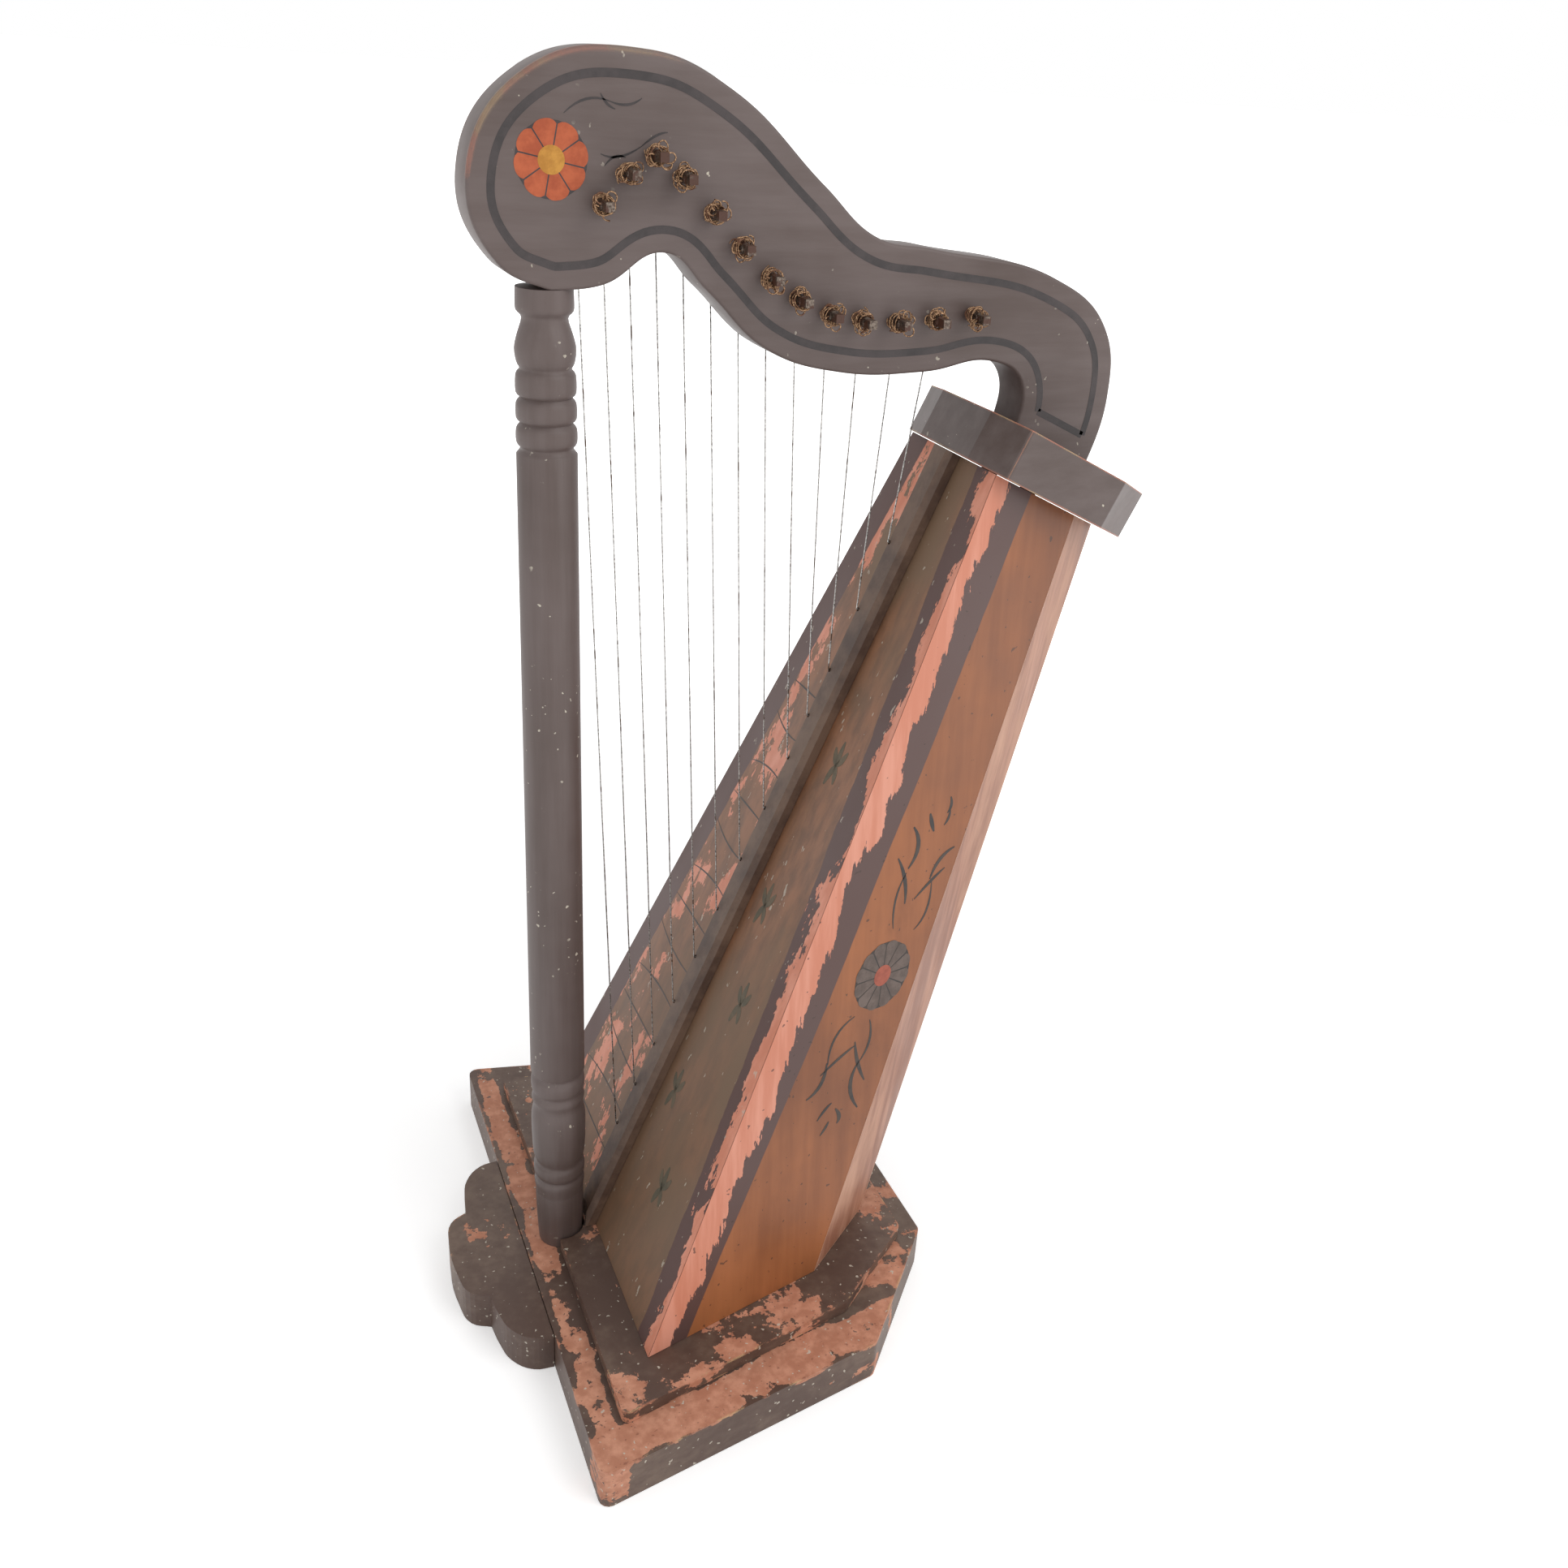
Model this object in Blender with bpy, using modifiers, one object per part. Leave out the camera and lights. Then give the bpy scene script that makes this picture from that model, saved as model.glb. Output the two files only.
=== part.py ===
"""Table harp: a turned column, a curved neck and a tapered soundbox on a stepped base, strung with thirteen wires."""

import math

import bmesh
import bpy
import numpy as np
from mathutils import Matrix, Vector

for old in list(bpy.data.objects):
    bpy.data.objects.remove(old, do_unlink=True)

# Lengths are in metres. X runs from the column towards the soundbox, Y across the harp, Z up.
GAP = 0.0003

# Base: slab, plinth on it and scalloped foot in front.
SLAB_THICK = 0.0220
SLAB_FRONT_LEDGE = 0.0165
SLAB_FRONT_OVERHANG = 0.0225
SLAB_SIDE_LEDGE = (0.0062, 0.0227)
SLAB_REAR_LEDGE = (0.0127, -0.0008)
SLAB_CORNER_R = 0.0050
PLINTH_THICK = 0.0065
PLINTH_FRONT_LEDGE = 0.0200
PLINTH_FRONT_OVERHANG = 0.0275
PLINTH_SIDE_LEDGE = (0.0074, 0.0242)
PLINTH_REAR_LEDGE = (0.0150, 0.0179)
PLINTH_CORNER_R = 0.0030
FOOT_THICK = 0.0210
FOOT_HALF = 0.0655
FOOT_REACH = 0.0365
FOOT_NOTCH = (0.0240, 0.0310)

# Soundbox: half widths and depths of its foot, and how much less deep it is under the cap.
BOX_FRONT_HALF = 0.1000
BOX_SIDE_DEPTH = 0.0959
BOX_SIDE_HALF = 0.0751
BOX_REAR_RUN = 0.0409
BOX_REAR_HALF = 0.0419
BOX_TOP_FRONT_HALF = 0.0395
SIDE_TAPER = 0.585
REAR_TAPER = 0.687
BOARD_TILT = math.radians(22.8)
BOARD_LENGTH = 0.4318
BOARD_THICK = 0.0050
PANEL_THICK = 0.0060
BLOCK_THICK = 0.0180

# Cap board on top of the soundbox.
CAP_TILT = math.radians(25.3)
CAP_THICK = 0.0225
CAP_FRONT_OVERHANG = 0.0058
CAP_FRONT_HALF = 0.0223
CAP_CORNER = (0.0073, 0.0466)
CAP_SIDE_LEDGE = 0.0054
CAP_SIDE_HALF = 0.0416
CAP_REAR_LEDGE = 0.0081
CAP_REAR_HALF = 0.0180

# String rib along the middle of the soundboard.
RIB_HALF = 0.0080
RIB_HEIGHT = 0.0070
RIB_ROUND = 0.0025

# Column.
COLUMN_R = 0.0126
COLUMN_HEIGHT = 0.4750
COLUMN_SETBACK = 0.0195
TENON_LENGTH = 0.0150
LOWER_TENON_R = 0.0070
UPPER_TENON_R = 0.0060

# Neck: its outline is drawn from the column seat, for a foot centre that lies at NECK_DRAWN_SPAN.
NECK_THICK = 0.0220
NECK_DRAWN_SPAN = (0.2234, -0.0637)
NECK_FOOT_ON_CAP = 0.0400
NECK_LOWER = (
    (0.0000, -0.0030),
    (0.0205, 0.0020),
    (0.0445, 0.0136),
    (0.0615, 0.0000),
    (0.0870, -0.0222),
    (0.1205, -0.0320),
    (0.1605, -0.0324),
    (0.1925, -0.0287),
    (0.2068, -0.0370),
)
NECK_FOOT = ((0.2060, -0.0640), (0.2420, -0.0900))
NECK_UPPER = (
    (0.2533, -0.0450),
    (0.2462, -0.0143),
    (0.2185, 0.0052),
    (0.1585, 0.0165),
    (0.1330, 0.0205),
    (0.1090, 0.0388),
    (0.0700, 0.0704),
    (0.0365, 0.0822),
    (-0.0085, 0.0735),
    (-0.0300, 0.0390),
    (-0.0195, 0.0090),
)
NECK_DOWEL_R = 0.0040
NECK_DOWEL_SPREAD = 0.0120
NECK_DOWEL_DEPTH = 0.0130

# Strings and tuning pins.
STRINGS = 13
WIRE_R = 0.0004
PIN_REACH = (0.0184, 0.0385, 0.0614, 0.0858, 0.1119, 0.1423, 0.1780)
PIN_RISE = (0.0307, 0.0478, 0.0285, 0.0056, -0.0082, -0.0112, -0.0092)
STRING_FEET = (0.128, 0.243, 0.366, 0.497, 0.628, 0.737, 0.888)
PIN_R = 0.0022
PIN_FAR_END = 0.0070
PIN_NEAR_END = 0.0150
PIN_SQUARE = 0.0034
PIN_SQUARE_LENGTH = 0.0060
WRAP_PITCH = 0.0014
STRING_CLEAR = 0.0025
WRAP_POINTS = 8
WINDING_TURNS = 3
WINDING_PITCH = 0.0018
STRING_HOLE_R = 0.0010
KNOT_SIZE = 2.4

# Screws from under the slab into the soundbox's bottom block.
SCREW_R = 0.0020
SCREW_HEAD_R = 0.0042
SCREW_HEAD = 0.0028
SCREW_BITE = 0.0120
SCREW_PLACES = (0.25, 0.65)

# How far a cutter runs past the face that it cuts.
OVERRUN = 0.0060
NECK_FOOT_CUT = 0.1200

harp = bpy.data.collections.new("table_harp")
cutters = bpy.data.collections.new("cutters")
bpy.context.scene.collection.children.link(harp)
bpy.context.scene.collection.children.link(cutters)
root = bpy.data.objects.new("harp_origin", None)
harp.objects.link(root)


def paint(name, colour, roughness, metallic=0.0):
    """A Principled material in one colour."""
    made = bpy.data.materials.new(name)
    made.use_nodes = True
    shader = made.node_tree.nodes["Principled BSDF"]
    shader.inputs["Base Color"].default_value = (*colour, 1.0)
    shader.inputs["Roughness"].default_value = roughness
    shader.inputs["Metallic"].default_value = metallic
    made.diffuse_color = (*colour, 1.0)
    return made


DARK_PAINT = paint("dark_paint", (0.115, 0.088, 0.078), 0.55)
BASE_PAINT = paint("base_paint", (0.150, 0.105, 0.090), 0.60)
AMBER_STAIN = paint("amber_stain", (0.330, 0.130, 0.035), 0.42)
BOARD_STAIN = paint("board_stain", (0.230, 0.130, 0.070), 0.50)
BARE_WOOD = paint("bare_wood", (0.520, 0.360, 0.200), 0.65)
STEEL = paint("steel", (0.420, 0.400, 0.370), 0.40, 0.9)
RUSTY_WIRE = paint("rusty_wire", (0.230, 0.130, 0.070), 0.60, 0.5)


def place(name, mesh, material, at=(0, 0, 0)):
    """Adds one piece of the harp, made from a mesh drawn about its own origin."""
    piece = bpy.data.objects.new(name, mesh)
    piece.location = at
    piece.parent = root
    mesh.materials.clear()
    mesh.materials.append(material)
    harp.objects.link(piece)
    return piece


def mesh_from(builder, name):
    """A mesh from a bmesh, with its normals outwards."""
    bmesh.ops.remove_doubles(builder, verts=builder.verts, dist=1e-6)
    bmesh.ops.recalc_face_normals(builder, faces=builder.faces)
    mesh = bpy.data.meshes.new(name)
    builder.to_mesh(mesh)
    builder.free()
    return mesh


def baked(temporary, name):
    """The evaluated mesh of a helper object, which is then removed."""
    bpy.context.view_layer.update()
    graph = bpy.context.evaluated_depsgraph_get()
    mesh = bpy.data.meshes.new_from_object(temporary.evaluated_get(graph))
    mesh.transform(temporary.matrix_world)
    mesh.name = name
    bpy.data.objects.remove(temporary, do_unlink=True)
    builder = bmesh.new()
    builder.from_mesh(mesh)
    bpy.data.meshes.remove(mesh)
    return mesh_from(builder, name)


def hull(points, name):
    """The convex solid round a set of points."""
    builder = bmesh.new()
    for point in points:
        builder.verts.new(point)
    bmesh.ops.convex_hull(builder, input=builder.verts)
    loose = [vert for vert in builder.verts if not vert.link_faces]
    bmesh.ops.delete(builder, geom=loose, context="VERTS")
    return mesh_from(builder, name)


def rounded(corners, radius, steps=4):
    """A closed outline whose corners are arcs of one radius."""
    out = []
    count = len(corners)
    for index, corner in enumerate(corners):
        here = Vector(corner)
        back = (Vector(corners[index - 1]) - here).normalized()
        ahead = (Vector(corners[(index + 1) % count]) - here).normalized()
        half = back.angle(ahead) / 2
        centre = here + (back + ahead).normalized() * (radius / math.sin(half))
        start = here + back * (radius / math.tan(half)) - centre
        end = here + ahead * (radius / math.tan(half)) - centre
        sweep = start.angle_signed(end)
        for step in range(steps + 1):
            turn = -sweep * step / steps
            out.append(centre + Matrix.Rotation(turn, 2) @ start)
    return out


def plate(name, outline, thickness, smooth=None, resolution=4):
    """A flat board, drawn in X and Y, from its underside at zero up to its thickness."""
    curve = bpy.data.curves.new(name, "CURVE")
    curve.dimensions = "2D"
    curve.fill_mode = "BOTH"
    curve.extrude = thickness / 2
    curve.resolution_u = resolution
    if smooth is None:
        line = curve.splines.new("POLY")
        line.points.add(len(outline) - 1)
        for point, place_at in zip(line.points, outline):
            point.co = (place_at[0], place_at[1], 0, 1)
    else:
        line = curve.splines.new("BEZIER")
        line.bezier_points.add(len(outline) - 1)
        for point, place_at, soft in zip(line.bezier_points, outline, smooth):
            point.co = (place_at[0], place_at[1], 0)
            point.handle_left_type = "AUTO" if soft else "VECTOR"
            point.handle_right_type = "AUTO" if soft else "VECTOR"
    line.use_cyclic_u = True
    helper = bpy.data.objects.new(name, curve)
    helper.location = (0, 0, thickness / 2)
    harp.objects.link(helper)
    return baked(helper, name)


def turned(name, profile, steps=24):
    """A turned solid from (radius, height) pairs that run from the top to the bottom."""
    mesh = bpy.data.meshes.new(name)
    points = [(radius, 0, height) for radius, height in profile]
    mesh.from_pydata(points, [(i, i + 1) for i in range(len(points) - 1)], [])
    helper = bpy.data.objects.new(name, mesh)
    screw = helper.modifiers.new("turn", "SCREW")
    screw.steps = steps
    screw.render_steps = steps
    screw.use_merge_vertices = True
    screw.merge_threshold = 0.00001
    harp.objects.link(helper)
    return baked(helper, name)


def wire(name, path, radius, radii=None):
    """A round wire along a path, with closed ends."""
    curve = bpy.data.curves.new(name, "CURVE")
    curve.dimensions = "3D"
    curve.bevel_depth = radius
    curve.bevel_resolution = 1
    curve.use_fill_caps = True
    line = curve.splines.new("POLY")
    line.points.add(len(path) - 1)
    for index, point in enumerate(line.points):
        point.co = (*path[index], 1)
        point.radius = 1.0 if radii is None else radii[index]
    helper = bpy.data.objects.new(name, curve)
    harp.objects.link(helper)
    return baked(helper, name)


def rods(name, ends, radius, sides=12):
    """A cutter of straight round rods, each between two points."""
    builder = bmesh.new()
    for start, end in ends:
        axis = Vector(end) - Vector(start)
        turn = axis.to_track_quat("Z", "Y").to_matrix().to_4x4()
        middle = Matrix.Translation((Vector(start) + Vector(end)) / 2)
        bmesh.ops.create_cone(
            builder,
            cap_ends=True,
            segments=sides,
            radius1=radius / math.cos(math.pi / sides),
            radius2=radius / math.cos(math.pi / sides),
            depth=axis.length,
            matrix=middle @ turn,
        )
    return cutter(name, mesh_from(builder, name))


def cutter(name, mesh):
    """A shape that only cuts other pieces."""
    tool = bpy.data.objects.new(name, mesh)
    tool.parent = root
    tool.hide_render = True
    tool.display_type = "WIRE"
    cutters.objects.link(tool)
    return tool


def cut(piece, tool):
    """Takes a cutter's shape out of a piece."""
    step = piece.modifiers.new("cut_" + tool.name, "BOOLEAN")
    step.operation = "DIFFERENCE"
    step.solver = "EXACT"
    step.object = tool


def mirrored(half):
    """A whole outline from the corners of its far half, front to back."""
    near = [(x, -y) for x, y in half]
    return list(half) + near[::-1]


# Outlines of the base, each grown from the soundbox's foot.
box_x = SLAB_FRONT_LEDGE + PLINTH_FRONT_LEDGE
box_foot = [
    (box_x, BOX_FRONT_HALF),
    (box_x + BOX_SIDE_DEPTH, BOX_SIDE_HALF),
    (box_x + BOX_SIDE_DEPTH + BOX_REAR_RUN, BOX_REAR_HALF),
]


def grown(half, front_ledge, front_overhang, side, rear):
    """An outline larger than another by a ledge at each corner."""
    return [
        (half[0][0] - front_ledge, half[0][1] + front_overhang),
        (half[1][0] + side[0], half[1][1] + side[1]),
        (half[2][0] + rear[0], half[2][1] + rear[1]),
    ]


plinth_half = grown(
    box_foot,
    PLINTH_FRONT_LEDGE,
    PLINTH_FRONT_OVERHANG,
    PLINTH_SIDE_LEDGE,
    PLINTH_REAR_LEDGE,
)
slab_half = grown(
    plinth_half,
    SLAB_FRONT_LEDGE,
    SLAB_FRONT_OVERHANG,
    SLAB_SIDE_LEDGE,
    SLAB_REAR_LEDGE,
)

slab = place(
    "base_slab",
    plate("base_slab", rounded(mirrored(slab_half), SLAB_CORNER_R), SLAB_THICK),
    BASE_PAINT,
)
plinth_floor = SLAB_THICK + GAP
plinth = place(
    "plinth",
    plate("plinth", rounded(mirrored(plinth_half), PLINTH_CORNER_R), PLINTH_THICK),
    BASE_PAINT,
    (0, 0, plinth_floor),
)

# Foot: three lobes, the middle one standing further out.
lobe = [
    (-GAP, FOOT_HALF),
    (-0.27 * FOOT_REACH, 0.977 * FOOT_HALF),
    (-0.52 * FOOT_REACH, 0.840 * FOOT_HALF),
    (-0.617 * FOOT_REACH, 0.656 * FOOT_HALF),
    (-FOOT_NOTCH[0], FOOT_NOTCH[1]),
    (-0.904 * FOOT_REACH, 0.82 * FOOT_NOTCH[1]),
    (-FOOT_REACH, 0.39 * FOOT_NOTCH[1]),
]
lobe_soft = [False, True, True, True, False, True, True]
foot_outline = lobe + [(x, -y) for x, y in lobe[::-1]]
place(
    "front_foot",
    plate("front_foot", foot_outline, FOOT_THICK, lobe_soft + lobe_soft[::-1]),
    BASE_PAINT,
)

# Soundbox planes. Each arris is a straight line from the foot up to the cap.
box_floor = plinth_floor + PLINTH_THICK + GAP
along = np.array([math.sin(BOARD_TILT), 0.0, math.cos(BOARD_TILT)])
outward = np.array([-math.cos(BOARD_TILT), 0.0, math.sin(BOARD_TILT)])
cap_in = np.array([math.cos(CAP_TILT), 0.0, -math.sin(CAP_TILT)])
cap_up = np.array([math.sin(CAP_TILT), 0.0, math.cos(CAP_TILT)])
across = np.array([0.0, 1.0, 0.0])
board_foot = np.array([box_x, 0.0, box_floor])
board_top = board_foot + along * BOARD_LENGTH


def plane_of(a, b, c, inside):
    """The plane through three points, with its normal away from an inside point."""
    normal = np.cross(b - a, c - a)
    normal = normal / np.linalg.norm(normal)
    if normal @ (inside - a) > 0:
        normal = -normal
    return normal, normal @ a


def meet(*planes):
    """The point where three planes meet."""
    return np.linalg.solve([p[0] for p in planes], [p[1] for p in planes])


def moved(plane, distance):
    """A plane moved along its outward normal."""
    return plane[0], plane[1] + distance


inside = board_foot + np.array([BOX_SIDE_DEPTH / 2, 0, BOARD_LENGTH / 12])
foot_plane = (np.array([0.0, 0.0, 1.0]), box_floor)
cap_plane = (cap_up, cap_up @ board_top)
foot_points = [np.array([x, y, box_floor]) for x, y in box_foot]
top_front = board_top + across * BOX_TOP_FRONT_HALF
front = plane_of(foot_points[0], top_front, foot_points[0] - across, inside)
side = plane_of(foot_points[0], foot_points[1], top_front, inside)
side_depth = SIDE_TAPER * BOX_SIDE_DEPTH
rear_depth = side_depth + REAR_TAPER * BOX_REAR_RUN
side_stop = (cap_in, cap_in @ board_top + side_depth)
top_side = meet(side, cap_plane, side_stop)
rear = plane_of(foot_points[1], foot_points[2], top_side, inside)
rear_stop = (cap_in, cap_in @ board_top + rear_depth)
top_rear = meet(rear, cap_plane, rear_stop)
back = plane_of(foot_points[2], top_rear, foot_points[2] - across, inside)


def other_side(plane):
    """The same plane on the harp's near side."""
    return plane[0] * np.array([1, -1, 1]), plane[1]


walls = [front, side, rear, back, other_side(rear), other_side(side)]
thick = [BOARD_THICK] + [PANEL_THICK] * 5
inner = [moved(wall, -depth) for wall, depth in zip(walls, thick)]
names = [
    ("soundboard", BOARD_STAIN),
    ("far_side_panel", AMBER_STAIN),
    ("far_rear_panel", AMBER_STAIN),
    ("back_panel", DARK_PAINT),
    ("near_rear_panel", AMBER_STAIN),
    ("near_side_panel", AMBER_STAIN),
]
under_cap = moved(cap_plane, -GAP)
panels = {}
for index, (name, stain) in enumerate(names):
    points = []
    for level in (foot_plane, under_cap):
        for planes in (walls, inner):
            start = meet(planes[index - 1], planes[index], level)
            end = meet(planes[index], planes[(index + 1) % 6], level)
            step = (end - start) / np.linalg.norm(end - start) * GAP / 2
            points += [start + step, end - step]
    panels[name] = place(name, hull(points, name), stain)


def block(name, low, high):
    """A block that fills the soundbox between two levels."""
    walls_here = [moved(wall, -GAP) for wall in inner]
    points = []
    for level in (low, high):
        for index in range(6):
            points.append(meet(walls_here[index - 1], walls_here[index], level))
    return place(name, hull(points, name), BARE_WOOD)


bottom_block = block("bottom_block", foot_plane, moved(foot_plane, BLOCK_THICK))
top_block = block("top_block", moved(under_cap, -BLOCK_THICK), under_cap)

# Cap: a board square to its own tilt, its front edge ahead of the soundboard.
cap_half = [
    (0.0, CAP_FRONT_HALF),
    CAP_CORNER,
    (CAP_FRONT_OVERHANG + side_depth + CAP_SIDE_LEDGE, CAP_SIDE_HALF),
    (CAP_FRONT_OVERHANG + rear_depth + CAP_REAR_LEDGE, CAP_REAR_HALF),
]
cap_corner = board_top - cap_in * CAP_FRONT_OVERHANG
cap_mesh = plate("cap", rounded(mirrored(cap_half), 0.0015, 2), CAP_THICK)
cap_mesh.transform(
    Matrix.Translation(Vector(cap_corner)) @ Matrix.Rotation(CAP_TILT, 4, "Y")
)
cap = place("cap", cap_mesh, DARK_PAINT)

# String rib, from the plinth up to the cap.
rib_section = [
    (-RIB_HALF, GAP),
    (RIB_HALF, GAP),
    (RIB_HALF, RIB_HEIGHT - RIB_ROUND),
    (RIB_HALF - RIB_ROUND, RIB_HEIGHT),
    (RIB_ROUND - RIB_HALF, RIB_HEIGHT),
    (-RIB_HALF, RIB_HEIGHT - RIB_ROUND),
]
rib_points = []
for y, rise in rib_section:
    start = board_foot + across * y + outward * rise
    for level in (foot_plane, under_cap):
        reach = (level[1] - level[0] @ start) / (level[0] @ along)
        rib_points.append(start + along * reach)
rib = place("string_rib", hull(rib_points, "string_rib"), DARK_PAINT)

# Column: tenon, base, bead, shaft, three rings, bulb, neck and collar, tenon.
column_foot = SLAB_THICK + GAP
seat = column_foot + COLUMN_HEIGHT
r = COLUMN_R
h = COLUMN_HEIGHT
upper = [
    (0.885, 1.0), (0.900, 0.990), (0.885, 0.982), (0.715, 0.976), (0.860, 0.963),
    (0.955, 0.952), (0.900, 0.941), (0.810, 0.936), (0.935, 0.931), (0.945, 0.917),
    (0.820, 0.913), (0.945, 0.908), (0.950, 0.896), (0.830, 0.892), (0.955, 0.887),
    (0.960, 0.876), (0.840, 0.871), (0.970, 0.866),
]
lower = [
    (1.045, 0.2270), (0.925, 0.2220), (1.030, 0.2160), (1.030, 0.2050),
    (0.940, 0.1990), (1.030, 0.1920), (0.960, 0.1830), (1.055, 0.1700),
    (1.060, 0.1450), (1.020, 0.1200), (0.930, 0.1080), (1.010, 0.1030),
    (1.010, 0.0930), (0.915, 0.0880), (1.000, 0.0820), (0.950, 0.0680),
    (0.960, 0.0640), (0.940, 0.0350), (0.880, 0.0030), (0.860, 0.0),
]
profile = [(0.0, h + TENON_LENGTH), (UPPER_TENON_R, h + TENON_LENGTH)]
profile += [(UPPER_TENON_R, h)]
profile += [(wide * r, high * h) for wide, high in upper + lower]
profile += [(LOWER_TENON_R, 0.0), (LOWER_TENON_R, -TENON_LENGTH), (0.0, -TENON_LENGTH)]
column = place(
    "column",
    turned("column", profile, 20),
    DARK_PAINT,
    (COLUMN_SETBACK, 0, column_foot),
)
column_axis = Vector((COLUMN_SETBACK, 0, 0))

hole = rods(
    "lower_tenon_hole",
    [(column_axis + Vector((0, 0, column_foot - TENON_LENGTH - 2 * GAP)),
      column_axis + Vector((0, 0, column_foot + OVERRUN)))],
    LOWER_TENON_R + GAP,
    20,
)
cut(slab, hole)
notch = rods(
    "column_notch",
    [(column_axis + Vector((0, 0, plinth_floor - OVERRUN)),
      column_axis + Vector((0, 0, plinth_floor + PLINTH_THICK + OVERRUN)))],
    0.96 * COLUMN_R + GAP,
    28,
)
cut(plinth, notch)
scoop = rods(
    "column_scoop",
    [(column_axis + Vector((0, 0, column_foot - OVERRUN)),
      column_axis + Vector((0, 0, column_foot + 0.3 * COLUMN_HEIGHT)))],
    1.06 * COLUMN_R + GAP,
    28,
)
cut(rib, scoop)

# Neck: the drawn outline is turned and scaled so that its foot lands on the cap.
foot_centre = cap_corner + cap_up * CAP_THICK
foot_centre = foot_centre + cap_in * NECK_FOOT_ON_CAP
drawn = complex(*NECK_DRAWN_SPAN)
wanted = complex(foot_centre[0] - COLUMN_SETBACK, foot_centre[2] - seat)
fit_turn = wanted / drawn


def on_neck(point):
    """A drawn point of the neck, as X and Z of the harp."""
    fitted = complex(*point) * fit_turn
    return COLUMN_SETBACK + fitted.real, seat + fitted.imag


neck_points = [on_neck(p) for p in NECK_LOWER + NECK_FOOT + NECK_UPPER]
neck_soft = [True] * len(NECK_LOWER) + [False] * 2 + [True] * len(NECK_UPPER)
neck_mesh = plate("neck", neck_points, NECK_THICK, neck_soft, 5)
stand = Matrix.Rotation(math.pi / 2, 4, "X")
neck_mesh.transform(Matrix.Translation((0, NECK_THICK / 2, 0)) @ stand)
neck = place("neck", neck_mesh, DARK_PAINT)

seat_cut = rods(
    "neck_seat",
    [(column_axis + Vector((0, 0, seat - 2 * OVERRUN)),
      column_axis + Vector((0, 0, seat + GAP)))],
    COLUMN_R + 0.0020,
    28,
)
cut(neck, seat_cut)
tenon_cut = rods(
    "upper_tenon_hole",
    [(column_axis + Vector((0, 0, seat - OVERRUN)),
      column_axis + Vector((0, 0, seat + TENON_LENGTH + 2 * GAP)))],
    UPPER_TENON_R + GAP,
    20,
)
cut(neck, tenon_cut)
builder = bmesh.new()
bmesh.ops.create_cube(builder, size=NECK_FOOT_CUT)
below_cap = mesh_from(builder, "neck_foot_plane")
below_cap.transform(Matrix.Translation((0, 0, -NECK_FOOT_CUT / 2)))
below_cap.transform(
    Matrix.Translation(Vector(foot_centre + cap_up * GAP))
    @ Matrix.Rotation(CAP_TILT, 4, "Y")
)
cut(neck, cutter("neck_foot_plane", below_cap))

# Dowels that hold the neck's foot to the cap and the top block.
for name, shift in (("neck_dowel_front", -1), ("neck_dowel_rear", 1)):
    middle = foot_centre + cap_in * shift * NECK_DOWEL_SPREAD
    low = middle - cap_up * (CAP_THICK + NECK_DOWEL_DEPTH)
    high = middle + cap_up * NECK_DOWEL_DEPTH
    dowel_mesh = turned(
        name,
        [
            (0, 2 * NECK_DOWEL_DEPTH + CAP_THICK),
            (NECK_DOWEL_R, 2 * NECK_DOWEL_DEPTH + CAP_THICK),
            (NECK_DOWEL_R, 0),
            (0, 0),
        ],
        12,
    )
    dowel_mesh.transform(
        Matrix.Translation(Vector(low)) @ Matrix.Rotation(CAP_TILT, 4, "Y")
    )
    place(name, dowel_mesh, BARE_WOOD)
    bore = rods(
        name + "_bore",
        [(low - cap_up * 2 * GAP, high + cap_up * 2 * GAP)],
        NECK_DOWEL_R + GAP,
        12,
    )
    for piece in (neck, cap, top_block):
        cut(piece, bore)

# Base screws, with their heads sunk in the slab's underside.
for number, share in enumerate(SCREW_PLACES, 1):
    x = box_x + share * (BOX_SIDE_DEPTH + BOX_REAR_RUN)
    top = box_floor + SCREW_BITE
    name = f"base_screw_{number}"
    place(
        name,
        turned(
            name,
            [
                (0, top), (SCREW_R, top - SCREW_R), (SCREW_R, SCREW_HEAD + GAP * 2),
                (SCREW_HEAD_R, GAP * 4), (SCREW_HEAD_R, GAP * 2), (0, GAP * 2),
            ],
            12,
        ),
        STEEL,
        (x, 0, 0),
    )
    shank = rods(
        name + "_shank",
        [((x, 0, -OVERRUN), (x, 0, top + 2 * GAP))],
        SCREW_R + GAP,
        12,
    )
    head = rods(
        name + "_head",
        [((x, 0, -OVERRUN), (x, 0, SCREW_HEAD + 3 * GAP))],
        SCREW_HEAD_R + GAP,
        12,
    )
    for piece in (slab, plinth, bottom_block):
        cut(piece, shank)
    cut(slab, head)


def eased(values, t):
    """A smooth curve through evenly spaced values, at t from 0 to 1."""
    place_at = t * (len(values) - 1)
    k = min(int(place_at), len(values) - 2)
    f = place_at - k
    b, c = values[k], values[k + 1]
    a = values[k - 1] if k > 0 else 2 * b - c
    d = values[k + 2] if k + 2 < len(values) else 2 * c - b
    return b + 0.5 * f * (c - a + f * (2 * a - 5 * b + 4 * c - d + f * (3 * (b - c) + d - a)))


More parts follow.
